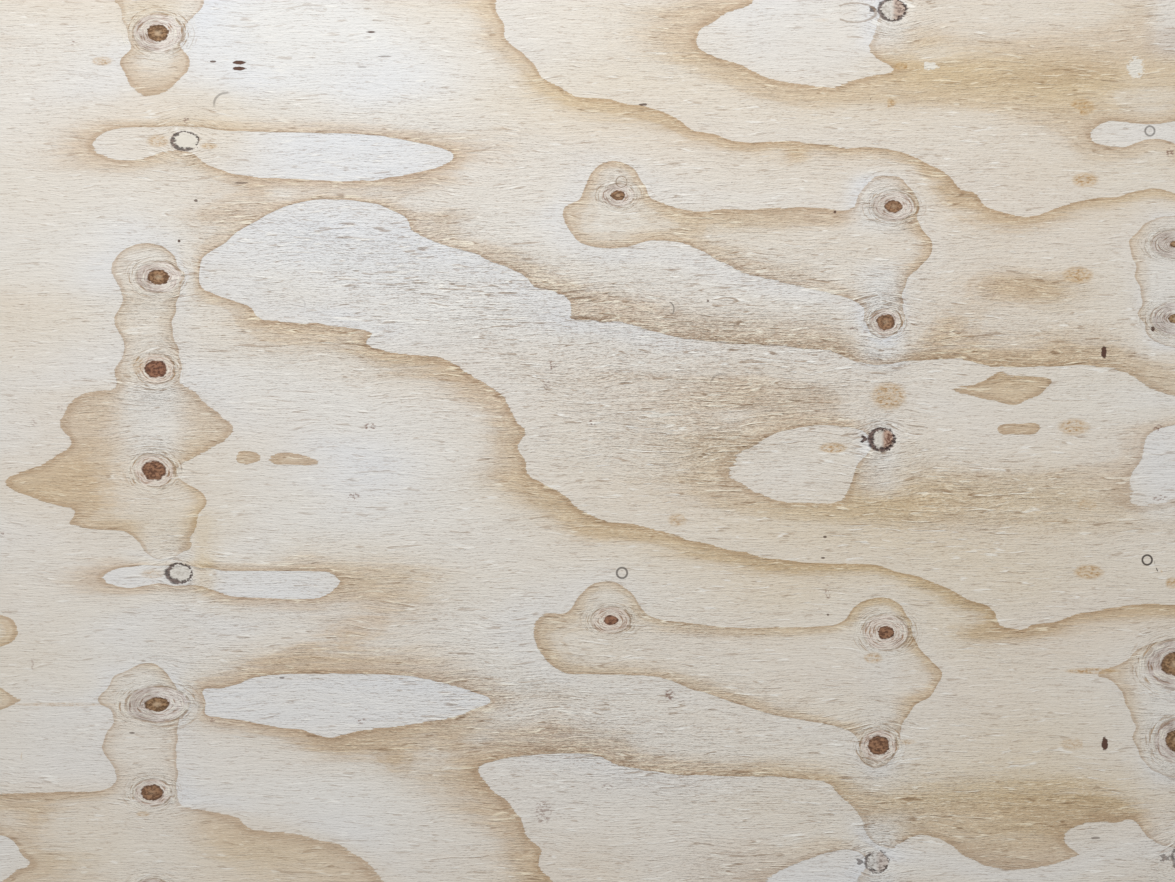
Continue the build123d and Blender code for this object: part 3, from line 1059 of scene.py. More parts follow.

# %% [markdown]
# ## Tone
#
# The figure isn't equally strong everywhere. This last layer holds three slow values: how dark the
# latewood comes out, how warm the wood is, and how rough the peel left it. They are given at
# places all over the window and smoothed between them. Columns of paler wood stand round the knots.

# %% Tone over the face
TONES = [  # across, down, latewood strength, warmth, roughness
    (60, 40, .6, .25, .3), (20, 100, .6, .3, .25), (160, 60, .8, .4, .2), (250, 30, .5, -.2, .25),
    (320, 60, .45, -.2, .25), (420, 60, .6, 0, .25), (480, 20, .95, .5, .25), (500, 60, .9, .5, .3),
    (560, 98, 1, .7, .3), (620, 110, 1, .8, .25), (690, 130, 1.2, .8, .3), (800, 152, 1.25, .8, .4),
    (870, 155, 1, .8, .5), (930, 180, 1.1, .8, .4), (1000, 215, 1.1, .8, .3), (1100, 205, 1, .8, .25),
    (560, 30, .6, .45, .3), (640, 40, .85, .5, .35), (700, 70, 1, .6, .4), (790, 95, 1.1, .7, .35),
    (790, 45, .9, .3, .25), (840, 70, .9, .3, .25), (930, 60, 1.25, 1, .35), (1000, 75, .85, .85, .35),
    (1100, 90, .95, .95, .3), (950, 20, .8, .6, .25), (1050, 25, .8, .7, .25), (1130, 20, .6, .8, .3),
    (960, 125, .6, .6, .3), (760, 120, .5, .5, .35), (1070, 140, .8, .8, .3), (1120, 132, .7, .1, .3),
    (1150, 165, .7, .7, .3), (850, 125, .4, .5, .35), (130, 145, .7, .5, .25), (100, 150, .8, .4, .3),
    (300, 125, .8, .35, .4), (430, 140, .8, .3, .4), (480, 155, 1.1, .4, .4), (280, 155, .7, -.1, .3),
    (370, 158, .7, -.1, .35), (200, 175, .9, .5, .4), (260, 195, 1.1, .5, .4), (340, 190, .95, .4, .4),
    (430, 220, 1, .45, .5), (490, 245, .75, .3, .6), (215, 240, .8, .4, .4), (60, 200, .4, .5, .2),
    (30, 330, .6, .7, .2), (110, 200, .4, .2, .2), (80, 260, .4, .3, .2), (60, 350, .5, .3, .25),
    (300, 230, .3, -.1, .8), (400, 240, .3, -.1, .8), (300, 270, .3, 0, .6), (420, 290, .3, 0, .9),
    (360, 310, .3, 0, .6), (500, 310, .3, .1, .8), (230, 305, .9, .4, .4), (300, 330, 1.1, .5, .5),
    (360, 345, 1.1, .5, .6), (450, 370, 1.1, .55, .45), (510, 430, 1.05, .6, .45),
    (545, 490, 1.05, .65, .4), (600, 520, 1.2, .8, .35), (680, 540, 1.2, .8, .3),
    (760, 558, 1.4, .95, .3), (850, 566, 1.35, .95, .3), (930, 590, 1.2, .9, .35),
    (1010, 630, 1.4, .85, .35), (1100, 613, 1.1, .9, .3), (1150, 608, 1.2, .9, .3),
    (270, 390, .5, .1, .4), (350, 430, .5, .1, .35), (430, 430, .6, .2, .4), (280, 500, .5, .15, .3),
    (400, 520, .5, .2, .3), (480, 540, .6, .3, .35), (560, 570, .7, .5, .3), (560, 280, .85, .4, .95),
    (620, 310, 1, .5, .95), (740, 335, .85, .7, 1), (850, 345, .95, .6, .95), (900, 350, 1.05, .6, .7),
    (1000, 350, 1.15, .65, .7), (1090, 355, 1.2, .75, .7), (1030, 287, 1.25, .8, .5),
    (960, 260, .5, .5, .4), (1090, 250, .5, .55, .3), (1040, 325, .7, .6, .4), (660, 275, .4, .1, .6),
    (740, 300, .25, .2, .7), (820, 315, .4, .3, .6), (600, 225, .9, .5, .3), (600, 180, .9, .5, .5),
    (690, 222, 1, .6, .5), (780, 218, 1, .7, .4), (840, 222, .9, .6, .3), (790, 245, .5, .4, .4),
    (730, 265, .8, .5, .7), (800, 282, .3, .4, .7), (925, 240, 1.1, .7, .5), (905, 290, 1.1, .7, .6),
    (700, 175, .5, .3, .4), (780, 185, .5, .3, .3), (540, 180, .6, .3, .4), (540, 225, .6, .2, .3),
    (640, 390, .6, .5, .75), (560, 370, .55, .45, .85), (760, 400, 1.1, .65, .8), (830, 408, .7, .6, .6),
    (700, 450, .85, 1, .8), (620, 440, .35, .4, .75), (790, 470, .5, .35, .35), (820, 490, .6, .35, .3),
    (740, 515, .7, .8, .5), (860, 520, .9, 1, .5), (920, 495, .85, 1, .7), (1000, 500, .4, .9, .6),
    (1080, 510, .8, .9, .4), (1110, 450, .7, .7, .5), (1000, 390, 1.1, .7, .2), (1022, 430, 1.1, .7, .2),
    (950, 410, .5, .4, .3), (1090, 400, .5, .4, .3), (960, 450, .6, .5, .5), (1150, 480, .6, .3, .3),
    (1150, 440, .6, .3, .3), (560, 330, .4, .1, .9), (650, 350, .4, .2, .9), (800, 370, .5, .4, .8),
    (700, 560, .5, .4, .3), (950, 545, .4, .9, .35), (1060, 560, .4, .8, .35), (1140, 575, .6, .5, .3),
    (1150, 530, .4, .5, .3), (850, 540, .5, .9, .4), (160, 330, .7, .5, .5), (95, 430, .85, .8, .3),
    (50, 480, 1, .85, .2), (155, 420, .5, .6, .5), (205, 425, .7, .5, .3), (150, 505, .5, .45, .3),
    (100, 515, .95, .85, .3), (195, 505, 1, .8, .2), (165, 535, .8, .7, .3), (280, 459, .9, .6, .2),
    (20, 440, .4, .3, .2), (20, 530, .4, .3, .2), (250, 590, .7, .1, .35), (290, 580, .7, .1, .35),
    (330, 578, .9, .6, .5), (390, 585, 1, .6, .4), (130, 578, .7, .1, .2), (200, 598, .9, .6, .4),
    (110, 590, .8, .5, .2), (300, 618, .6, .1, .4), (240, 570, .8, .5, .3), (300, 660, 1.15, .6, .4),
    (380, 650, 1, .4, .4), (250, 670, 1, .5, .5), (440, 665, .6, .4, .6), (500, 700, .5, .3, .95),
    (330, 745, 1.3, .55, .35), (420, 745, 1.2, .5, .4), (480, 770, 1.1, .5, .4), (560, 738, .8, .35, .7),
    (260, 730, 1.1, .5, .4), (430, 690, .8, 0, .5), (330, 700, .7, -.05, .4), (250, 700, .7, 0, .3),
    (600, 745, .9, .35, 1), (700, 765, .9, .5, .75), (800, 768, 1.1, .6, .6), (640, 715, .5, .2, .7),
    (720, 740, .5, .3, .6), (820, 745, .5, .3, .4), (550, 640, 1.1, .6, .3), (600, 590, .9, .6, .4),
    (660, 620, .9, .7, .6), (780, 628, .9, .8, .3), (650, 680, .9, .6, .5), (750, 710, 1, .7, .6),
    (830, 728, .6, .6, .4), (700, 655, .4, .4, .4), (830, 655, .4, .4, .2), (930, 670, 1.1, .7, .3),
    (905, 725, 1.1, .7, .4), (880, 600, 1, .6, .4), (620, 600, .4, .3, .4), (480, 640, .5, .15, .6),
    (540, 590, .5, .3, .4), (900, 800, 1.1, .9, .6), (1000, 805, .98, .85, .5),
    (1100, 805, 1.15, .95, .5), (1000, 850, .9, .85, .35), (930, 820, .85, .85, .5),
    (865, 815, .4, .3, .8), (830, 795, 1, .7, .4), (820, 845, .5, .6, .4), (760, 865, .3, .4, .4),
    (700, 850, .1, .35, .4), (620, 820, .45, .4, .35), (560, 800, .4, .3, .4), (800, 872, .6, .2, .3),
    (930, 860, .6, .2, .25), (1110, 845, .6, .3, .3), (1000, 878, .6, .3, .3), (1160, 850, .6, .5, .4),
    (500, 815, 1.3, .7, .4), (535, 865, 1, .9, .4), (450, 790, 1, .5, .4), (470, 830, .9, .45, .4),
    (430, 850, .4, .2, .25), (330, 800, .5, .05, .2), (400, 820, .5, .05, .2), (250, 780, .5, .1, .2),
    (260, 840, .75, .8, .2), (350, 868, .85, .75, .2), (200, 850, .8, .8, .2), (50, 815, .9, .7, .3),
    (40, 865, .9, .8, .25), (145, 860, .4, .7, .2), (90, 840, .9, .75, .25), (110, 740, .8, .5, .3),
    (150, 740, .4, .4, .3), (180, 750, .6, .5, .2), (60, 700, .4, .25, .2), (60, 750, .5, .3, .2),
    (10, 630, 1.1, .8, .2), (10, 700, .9, .7, .2), (60, 620, .4, .25, .2), (10, 850, .5, .1, .2),
    (1130, 680, .8, .5, .3), (1135, 300, .6, .5, .3), (1140, 740, .6, .5, .3), (1000, 690, .45, .7, .3),
    (1060, 740, .55, .85, .3), (960, 640, .5, .5, .4), (1100, 650, .4, .6, .2), (1110, 720, .4, .6, .2),
    (400, 455, .4, .15, .3), (985, 622, 1.4, .85, .35), (345, 643, 1.3, .5, .4), (120, 487, 1.3, .85, .3),
    (103, 3, .6, .8, .2), (1152, 406, .3, .3, .3), (808, 520, 1.2, .85, .4), (1072, 812, 1.4, 1, .45),
    (812, 396, .4, .5, .7), (893, 497, 1.2, 1.1, .5), (745, 153, 1.5, .8, .3), (702, 428, .3, .55, .8),
    (114, 478, 1.25, .9, .3), (880, 100, .9, 1, .3), (1172, 376, 1, .7, .4), (178, 137, .7, 1, .2),
    (204, 145, .7, .8, .2), (940, 322, 1, .65, .6), (727, 566, 1.4, .95, .4), (836, 450, 1.2, .7, .5),
    (1128, 507, .3, .6, .4), (935, 3, .1, .4, .3), (300, 882, .3, .8, .2), (452, 728, .8, .4, .5),
    (1150, 362, .4, .6, .4), (1168, 35, .35, .6, .3), (1170, 90, .9, .75, .3), (990, 20, .5, .5, .3),
]
COLUMNS = [  # across, from, to, half width, change of latewood strength, change of warmth
    (150, 255, 380, 34, -.35, 0), (150, 375, 470, 30, -.9, -.4), (162, 465, 570, 22, -.9, 0),
    (155, 55, 120, 24, -.1, .1), (156, -60, 46, 34, -.9, .3), (142, 655, 800, 40, -.35, 0),
    (156, 785, 900, 40, -.65, -.2), (204, 505, 600, 10, .1, .5), (884, -30, 60, 24, -.7, -.3),
    (878, 165, 240, 30, -.85, -.5), (882, 255, 372, 24, -.8, -.5), (876, 372, 425, 18, .1, 0),
    (880, 410, 500, 22, -.6, -.4), (882, 600, 790, 22, -.5, -.2), (876, 812, 900, 24, -.8, -.2),
    (1174, -30, 62, 21, -.8, -.4), (1168, 200, 360, 26, -.8, -.3), (1162, 430, 530, 24, -.55, -.1),
    (1166, 640, 800, 26, -.8, -.3), (1172, 810, 900, 24, -.5, 0),
]
TONE_SEED = 4
TONE_ALONG, TONE_DOWN = 48, 22  # how far a place's tone reaches
USUAL_TONE, USUAL_WEIGHT = (0.9, 0.5, 0.5), 0.02  # where no place is near


def smooth_tones(x, y, seed):
    """The toned values at each vertex, with a seeded drift where no place is near."""
    across, down = across_view(x), down_view(y)
    random = np.random.default_rng(seed)
    total = np.zeros((len(x), 3))
    weights = np.full(len(x), USUAL_WEIGHT)
    for number, usual in enumerate(USUAL_TONE):
        phases = random.uniform(0, 6.28, 3)
        slow = 0.2 * np.sin(across / 330 + phases[0] + np.sin(down / 170 + phases[1]))
        total[:, number] = USUAL_WEIGHT * (usual + slow + 0.1 * np.sin(down / 61 + phases[2]))
    for ax, dy, *values in TONES:
        weight = np.exp(-(((across - ax) / TONE_ALONG) ** 2 + ((down - dy) / TONE_DOWN) ** 2) / 2)
        weights += weight
        total += weight[:, None] * np.array(values)
    return total / weights[:, None]


tones = smooth_tones(x, y, TONE_SEED)
for across, top_end, low_end, wide, darker, warmer in COLUMNS:
    over = np.abs(across_view(x) - across) / wide
    along = np.clip(np.minimum(down_view(y) - top_end, low_end - down_view(y)) / 16, 0, 1)
    inside = np.exp(-(over**3)) * along * ~on_back
    tones[:, 0] += darker * inside
    tones[:, 1] += warmer * inside
spread = np.hypot(*knot_place.T)
beside = spread * knot_near + 9 * (1 - knot_near)
sound = knot_row[:, 4] == SOUND
tones[:, 0] *= 1 - np.where(sound, 0.6, 0.3) * np.exp(-((beside / 2.6) ** 4))
tones[:, 2] += 0.3 * np.exp(-((beside / 3.4) ** 2))
write(sheet, "tone", tones)
print("tones at", len(TONES), "places, latewood up to", round(float(tones[:, 0].max()), 2))

# %% [markdown]
# ## Relief
#
# A peeled face isn't quite flat: knots stand a hair proud, bark rings are small gullies, and the
# soft wood is worn back beside the hard latewood. A Displace modifier lowers each vertex by its
# weight, and the deepest place is under half a millimetre.

# %% Relief of the face
DEEPEST = 0.45 * MM
STEPS = 40  # levels of weight, so that whole levels are added at once
RUN_OUT = 12 * MM  # the relief ends this far inside the border

latewood = np.clip((rings - np.floor(rings) - 0.5) / 0.5, 0, 1)
gully = np.exp(-(((spread - 1.0) / 0.22) ** 2)) * knot_near
relief = 0.28 - 0.16 * latewood + np.where(sound, 0.25, 0.62) * gully
relief -= 0.1 * np.exp(-((spread / 0.75) ** 2)) * knot_near
edge_gap = np.minimum(length / 2 - np.abs(x), width / 2 - np.abs(y))
relief *= np.clip((edge_gap - BORDER) / RUN_OUT, 0, 1) * (z > face_z - 1e-6)
levels = np.round(np.clip(relief, 0, 1) * STEPS).astype(int)
group = sheet.vertex_groups.new(name="relief")
for level in range(1, STEPS + 1):
    chosen = np.flatnonzero(levels == level)
    if len(chosen):
        group.add(chosen.tolist(), level / STEPS, "REPLACE")

bpy.ops.object.select_all(action="DESELECT")
sheet.select_set(True)
bpy.context.view_layer.objects.active = sheet
worn = sheet.modifiers.new("worn", "DISPLACE")
worn.direction = "Z"
worn.mid_level = 0.0
worn.strength = -DEEPEST
worn.vertex_group = "relief"
bpy.ops.object.modifier_apply(modifier="worn")
bpy.ops.object.shade_smooth_by_angle(angle=math.radians(35))
print("relief deepest", round(float(levels.max() / STEPS * DEEPEST / MM), 3), "mm")

# %% [markdown]
# ## Shared wood effects
#
# The face and the back are the same pine, so they share node groups. The first one finds a point's
# place along and across the bent grain, and gives six noises there: fine fibre lines, dashes where
# the knife lifted fibres (fine lines broken by a shorter noise), broad streaks, a slow drift, the
# long edges of lifted fibres, and the patches in which those show.

# %% Grain noises
SWAY = 9 * MM  # how far the fibres wander sideways
grain_noise, _, out = new_group("grain_noise", (), ("Dash", "Fine", "Broad", "Drift", "Edge", "Patch"))
here, grain_y = parts_of(grain_noise, object_place(grain_noise)), reading(grain_noise, "grain")
unswayed = joined(grain_noise, here["X"], grain_y, here["Z"])
sway = grainy(grain_noise, unswayed, (16, 26, 20), 0, 0.5, 23)
place = joined(grain_noise, here["X"], nudged(grain_noise, grain_y, sway, SWAY), here["Z"])
fine = grainy(grain_noise, place, (50, 880, 80), 1, 0.6)
short = grainy(grain_noise, place, (270, 880, 90), 1, 0.7, 3)
join_all(
    grain_noise,
    out,
    Fine=fine,
    Dash=times_plus(grain_noise, fine, 0.7, times_plus(grain_noise, short, 0.9, -0.3)),
    Broad=grainy(grain_noise, place, (3.4, 92, 60), 2, 0.6, 7),
    Drift=grainy(grain_noise, place, (3.5, 11, 9), 1, 0.5, 19),
    Edge=minus(grain_noise, grainy(grain_noise, place, (15, 210, 60), 1, 0.5, 41), 0.5),
    Patch=grainy(grain_noise, place, (60, 330, 60), 1, 0.5, 47),
)
print("grain noises", len(out) - 1)

# %% [markdown]
# ## The ring figure
#
# This group turns the ring field into colour. Fine and broad noise nudge the field first, so crisp
# lines get small teeth along the grain. The whole part is thrown away, and what is left climbs from
# pale to tan and drops back at once. The palest, coolest wood is the first of each year, next to
# the line.

# %% Ring figure: how late in its year the wood is
figure, given, out = new_group("ring_figure", ("Fine", "Broad", "Drift"), ("Color", "Latewood", "Rough"))
tone = parts_of(figure, reading(figure, "tone", "Vector"))
strength, warmth = tone["X"], tone["Y"]
teeth = times_plus(figure, given["Fine"], 0.05, times(figure, given["Broad"], 0.05))
field = plus(figure, reading(figure, "rings"), teeth)
share = sums(figure, "FRACT", plus(figure, field, 9.95))
along = parts_of(figure, object_place(figure))["X"]
layers = grainy(figure, joined(figure, along, field), (5, 15, 1), 1, 0.5, 31)
streaky = straight(figure, share, 0.42, 0.95)
for noise, amount in ((given["Broad"], 0.75), (layers, 0.4), (given["Fine"], 0.45)):
    streaky = nudged(figure, streaky, noise, amount)
soft = times(figure, ease(figure, streaky, 0, 0.9), ease(figure, share, 0.26, 0.48))
late = sums(figure, "MULTIPLY", soft, strength, clamp=True)
line = times(figure, ease(figure, share, 0.89, 0.97), straight(figure, strength, 0, 1, 0.7, 1))

# %% Ring figure: its colours
drift = ease(figure, given["Drift"], 0.3, 0.7)
pink = times(figure, drift, sums(figure, "MULTIPLY", warmth, 0.5, clamp=True))
cool = times(figure, straight(figure, warmth, 0.05, 0.55, 1, 0.12), ease(figure, share, 0.4, 0.1))
pale = mixed(figure, warmth, shade(234, 232, 228), shade(226, 211, 187))
pale = mixed(figure, pink, pale, shade(229, 219, 209))
pale = mixed(figure, cool, pale, shade(230, 231, 233))
tan = mixed(figure, warmth, shade(212, 191, 170), shade(214, 190, 148))
tan = mixed(figure, times(figure, drift, 0.4), tan, shade(207, 181, 158))
tan = mixed(figure, straight(figure, strength, 1, 1.5), tan, shade(186, 158, 122))
wood = mixed(figure, times(figure, late, 0.92), pale, tan)
wood = mixed(figure, times(figure, line, 0.38), wood, shade(166, 130, 92))
fibre = nudged(figure, 1.0, given["Fine"], straight(figure, late, 0, 1, 0.11, 0.36))
wood = mixed(figure, 1.0, wood, fibre, "MULTIPLY")
rough = times(figure, tone["Z"], straight(figure, soft, 0, 1, 0.8, 1.25))
join_all(figure, out, Color=wood, Latewood=late, Rough=rough)
print("ring figure", len(figure.nodes), "nodes")

# %% [markdown]
# ## Lifted fibres
#
# Where the knife tore the surface, each dash is paler on one side and darker on the other: partly the
# colour of torn fibres, partly a painted highlight and painted shade. In pale wood the darker side is
# greyish, in the tan it is brown, so both multiply the wood below. The longer lifted edges follow where
# a slow noise passes its middle, with a painted shadow on one side and a painted highlight on the other.

# %% Lifted fibres
EDGE_SIDE = 0.028  # how far the dark and the bright side lie from the edge's middle
lifted, given, out = new_group(
    "lifted_fibres", ("Color", "Dash", "Broad", "Rough", "Latewood", "Edge", "Patch"), ("Color", "Height")
)
rough, late, dash = given["Rough"], given["Latewood"], given["Dash"]
push = nudged(lifted, times(lifted, rough, 0.11), given["Broad"], 0.07)
# Paler side of the dashes: partly the colour of torn fibres, partly a painted highlight.
painted_glints_and_pale_fibres = times(
    lifted,
    ease(lifted, plus(lifted, dash, push), 0.62, 0.74),
    straight(lifted, rough, 0, 1, 0.35, 1),
    straight(lifted, late, 0, 1, 0.4, 0.7),
)
# Darker side of the dashes: partly the colour of torn fibres, partly painted shade.
dark = times(
    lifted,
    ease(lifted, minus(lifted, dash, push), 0.35, 0.24),
    straight(lifted, rough, 0, 1, 0.45, 1),
    straight(lifted, late, 0, 1, 0.6, 0.45),
)
raised = ease(lifted, times_plus(lifted, rough, 0.09, given["Patch"]), 0.57, 0.66)
raised = sums(lifted, "MULTIPLY", raised, straight(lifted, rough, 0, 1, 0.3, 1.3), clamp=True)
# A painted shadow on one side of each lifted edge, and a painted highlight on the other.
shadow = times(lifted, raised, ease(lifted, gap(lifted, given["Edge"], EDGE_SIDE), 0.036, 0.012, 0, 0.85))
lit_edge = times(lifted, raised, ease(lifted, gap(lifted, given["Edge"], -EDGE_SIDE), 0.04, 0.012))
# The colour of the painted highlights and pale fibres, creamier in the latewood.
glint = mixed(lifted, late, shade(250, 247, 240), shade(246, 232, 204))
wood = mixed(lifted, dark, given["Color"], shade(196, 176, 160), "MULTIPLY")
wood = mixed(lifted, painted_glints_and_pale_fibres, wood, glint)
wood = mixed(lifted, shadow, wood, shade(196, 180, 166), "MULTIPLY")
wood = mixed(lifted, lit_edge, wood, glint)
ridge = times(lifted, ease(lifted, sums(lifted, "ABSOLUTE", given["Edge"]), 0.06, 0), raised)
height = times(lifted, dash, straight(lifted, rough, 0.1, 1.1, 0.16, 1))
join_all(lifted, out, Color=wood, Height=times_plus(lifted, ridge, 0.1, height))
print("lifted fibres", len(lifted.nodes), "nodes")

# %% [markdown]
# ## Look of the knots
#
# A knot's heart is mottled brown with a ragged edge. Round it the fibres bend into broken arcs, and
# a thin line closes the halo. A bark knot has a broken dark ring, grey inside, browner on its right,
# and a scrap of bark to its left. All of it is drawn in the knot's own measure, in which its heart
# ends at one, and is then nudged by noise, so no two knots are alike.

# %% Knots: their measure and their kind
knots, given, out = new_group("knots", ("Color",), ("Color", "Height"))
knot = parts_of(knots, reading(knots, "knot", "Vector"))
kind = parts_of(knots, reading(knots, "knot_kind", "Vector"))
redness, ring_size = kind["Y"], kind["Z"]
here = object_place(knots)
flat = joined(knots, knot["X"], knot["Y"])
way = vector_sums(knots, "NORMALIZE", flat)
sideways, upways = parts_of(knots, way)["X"], parts_of(knots, way)["Y"]


def own_noise(place, drift, *settings):
    """Noise round a knot that also changes over the sheet, so that each knot gets its own."""
    moved = vector_sums(knots, "ADD", place, vector_sums(knots, "MULTIPLY", here, (drift, drift, 0)))
    return grainy(knots, moved, *settings)


wobble = own_noise(way, 34, (1, 1, 1), 2, 0.6)
mottle = grainy(knots, here, (300, 460, 50), 2, 0.7, 4)
spread = nudged(knots, vector_sums(knots, "LENGTH", flat), wobble, 0.42)
ragged = nudged(knots, spread, mottle, 0.4)
near = ease(knots, knot["Z"], 0.78, 0.97)
is_sound = is_kind(knots, kind["X"], SOUND)
sound = times(knots, near, is_sound)
barky = times(knots, near, minus(knots, 1.0, is_sound))
tailed = times(knots, near, is_kind(knots, kind["X"], BARK))

# %% Knots: the sound heart
heart = times(knots, ease(knots, ragged, 1.07, 0.94), sound)
light_heart = mixed(knots, redness, shade(176, 146, 108), shade(158, 112, 88))
dark_heart = mixed(knots, redness, shade(120, 94, 64), shade(104, 68, 54))
heart_wood = mixed(knots, ease(knots, mottle, 0.38, 0.62), dark_heart, light_heart)
heart_wood = mixed(knots, ease(knots, ragged, 0.72, 1, 0, 0.55), heart_wood, shade(92, 64, 50))
pith = times(knots, ease(knots, spread, 0.5, 0.1), ease(knots, redness, 0.7, 0.4))
heart_wood = mixed(knots, times(knots, pith, 0.6), heart_wood, shade(214, 190, 160))

# %% Knots: the halo, its arcs and its closing line
rim_share = sums(knots, "DIVIDE", spread, sums(knots, "MAXIMUM", ring_size, 1.0))
arc_place = joined(knots, sideways, upways, times(knots, spread, 4.2))
arcs = own_noise(arc_place, 18, (1, 1, 1.5), 2, 0.6, 8)
inside = times(knots, ease(knots, rim_share, 1.04, 0.9), sound)
light_halo = mixed(knots, redness, shade(246, 242, 235), shade(236, 224, 209))
dark_halo = mixed(knots, redness, shade(222, 211, 207), shade(212, 190, 174))
halo = mixed(knots, ease(knots, arcs, 0.4, 0.6), dark_halo, light_halo)
# Painted shade on the left side of the halo, in the paler knots.
painted_shade_on_left = times(
    knots,
    ease(knots, sideways, 0.35, -0.5),
    ease(knots, redness, 0.75, 0.4),
    inside,
    straight(knots, wobble, 0.35, 0.6, 0.4, 1),
)
closing = times(
    knots,
    ease(knots, wobble, 0.38, 0.56),
    sound,
    ease(knots, gap(knots, rim_share, 1.0), 0.075, 0.02),
    straight(knots, sideways, -0.5, 0.7, 0.55, 1),
)
beside_heart = straight(knots, sums(knots, "ABSOLUTE", sideways), 0.2, 0.9, 0.55, 1)
around_heart = times(knots, ease(knots, ragged, 1, 1.15), ease(knots, rim_share, 1.8, 1.1))
wild = times(knots, beside_heart, sound, around_heart)
dark_arcs = times(knots, ease(knots, arcs, 0.44, 0.34), wild)
light_arcs = times(knots, ease(knots, arcs, 0.55, 0.65), wild)
looks = mixed(knots, times(knots, inside, 0.85), given["Color"], halo)
looks = mixed(knots, painted_shade_on_left, looks, shade(220, 214, 210), "MULTIPLY")
looks = mixed(knots, times(knots, dark_arcs, 0.9), looks, shade(204, 178, 148), "MULTIPLY")
looks = mixed(knots, times(knots, light_arcs, 0.7), looks, shade(247, 240, 224))
looks = mixed(knots, times(knots, closing, 0.7), looks, shade(152, 122, 90))
looks = mixed(knots, heart, looks, heart_wood)

# %% Knots: what a bark ring holds
grey = mixed(knots, ease(knots, mottle, 0.36, 0.54), shade(140, 130, 124), shade(220, 217, 213))
fill = mixed(knots, ring_size, shade(230, 223, 210), grey)
brown = mixed(knots, ease(knots, mottle, 0.4, 0.58), shade(124, 88, 72), shade(198, 168, 148))
right_side = times(knots, ease(knots, times_plus(knots, mottle, 0.5, knot["X"]), 0.1, 0.5), redness)
fill = mixed(knots, times(knots, right_side, tailed), fill, brown)
looks = mixed(knots, times(knots, ease(knots, ragged, 1.04, 0.94), barky), looks, fill)

# %% Knots: the bark ring and its tail
lower_left = plus(knots, sideways, times(knots, upways, 0.6))
ring_width = times(
    knots,
    straight(knots, redness, 0.3, 1, 0.09, 0.24),
    straight(knots, lower_left, -0.9, 0.8, 1.5, 0.5),
    straight(knots, wobble, 0.36, 0.64, 0.5, 1.4),
)
tearing = straight(knots, knot["X"], -0.5, 0.8, 0.4, 0.8)
torn_ring = nudged(knots, gap(knots, spread, 1.0), mottle, tearing)
bark_ring = times(knots, ease(knots, torn_ring, ring_width, times(knots, ring_width, 0.4)), barky)
prong = straight(knots, knot["X"], -1.3, -1.75, 0, 0.2)
tail_y = times(knots, minus(knots, sums(knots, "ABSOLUTE", knot["Y"]), prong), 5.0)
tail_x = times(knots, plus(knots, knot["X"], 1.47), 3.1)
tail_spot = vector_sums(knots, "LENGTH", joined(knots, tail_x, tail_y))
tail = times(knots, ease(knots, nudged(knots, tail_spot, mottle, 2.0), 1.05, 0.7), tailed)
bark = largest(knots, bark_ring, tail)
bark_colour = mixed(knots, ease(knots, mottle, 0.4, 0.6), shade(58, 44, 42), shade(112, 88, 80))
looks = mixed(knots, times(knots, bark, straight(knots, redness, 0, 1, 0.55, 0.95)), looks, bark_colour)
cracks = times(knots, heart, ease(knots, mottle, 0.45, 0.3))
gullies = largest(knots, bark, cracks, closing, dark_arcs)
join_all(knots, out, Color=looks, Height=minus(knots, light_arcs, gullies))
print("knots", len(knots.nodes), "nodes")

# %% [markdown]
# ## Look of the small marks
#
# Each kind is a mask in the mark's own measure: a filled oval for a dash, a stain or a scar, a thin
# ring for a stem, a loop or an arc, and a few grains of noise for specks. A pair is two lenses, one
# above the other. All share one ragged noise, and their colours lie over one another in turn.

# %% Small marks: their masks
marks, given, out = new_group("small_marks", ("Color",), ("Color", "Height"))
mark = parts_of(marks, reading(marks, "mark", "Vector"))
sort = parts_of(marks, reading(marks, "mark_kind", "Vector"))
ragged = minus(marks, grainy(marks, object_place(marks), (260, 460, 90), 2, 0.65, 2), 0.5)
far_out = vector_sums(marks, "LENGTH", joined(marks, mark["X"], mark["Y"]))
near = times(marks, ease(marks, mark["Z"], 0.82, 0.98), sort["Y"])


def torn(value, amount):
    return times_plus(marks, ragged, amount, value)


def only(kind_number, *masks):
    """The masks' product, for one kind of mark."""
    return times(marks, is_kind(marks, sort["X"], kind_number), near, times(marks, *masks))


ring_gap = gap(marks, far_out, 1.0)
torn_out = torn(far_out, 0.9)
dash = only(DASH, ease(marks, torn_out, 1.05, 0.75))
stem = only(RING, ease(marks, ring_gap, 0.26, 0.12))
stain = only(STAIN, ease(marks, torn_out, 1.1, 0.7), ease(marks, ragged, -0.16, 0.14, 0.35, 1))
scar = only(PALE, ease(marks, torn(far_out, 1.8), 1.15, 0.85))
specks = only(SPECKS, ease(marks, far_out, 1.2, 0.7), ease(marks, ragged, -0.01, 0.1))
loop = only(LOOP, ease(marks, torn(ring_gap, 0.2), 0.13, 0.03))
lens_y = times(marks, minus(marks, sums(marks, "ABSOLUTE", mark["Y"]), 0.55), 2.6)
lens = vector_sums(marks, "LENGTH", joined(marks, mark["X"], lens_y))
pair = only(PAIR, ease(marks, torn(lens, 0.7), 1, 0.7))
turned = sums(marks, "RADIANS", sort["Z"])
ahead_x = times(marks, mark["X"], sums(marks, "COSINE", turned))
ahead_y = times(marks, mark["Y"], sums(marks, "SINE", turned))
ahead = plus(marks, ahead_x, ahead_y)
arc = only(ARC, ease(marks, ring_gap, 0.14, 0.05), ease(marks, ahead, 0.35, 0.8))

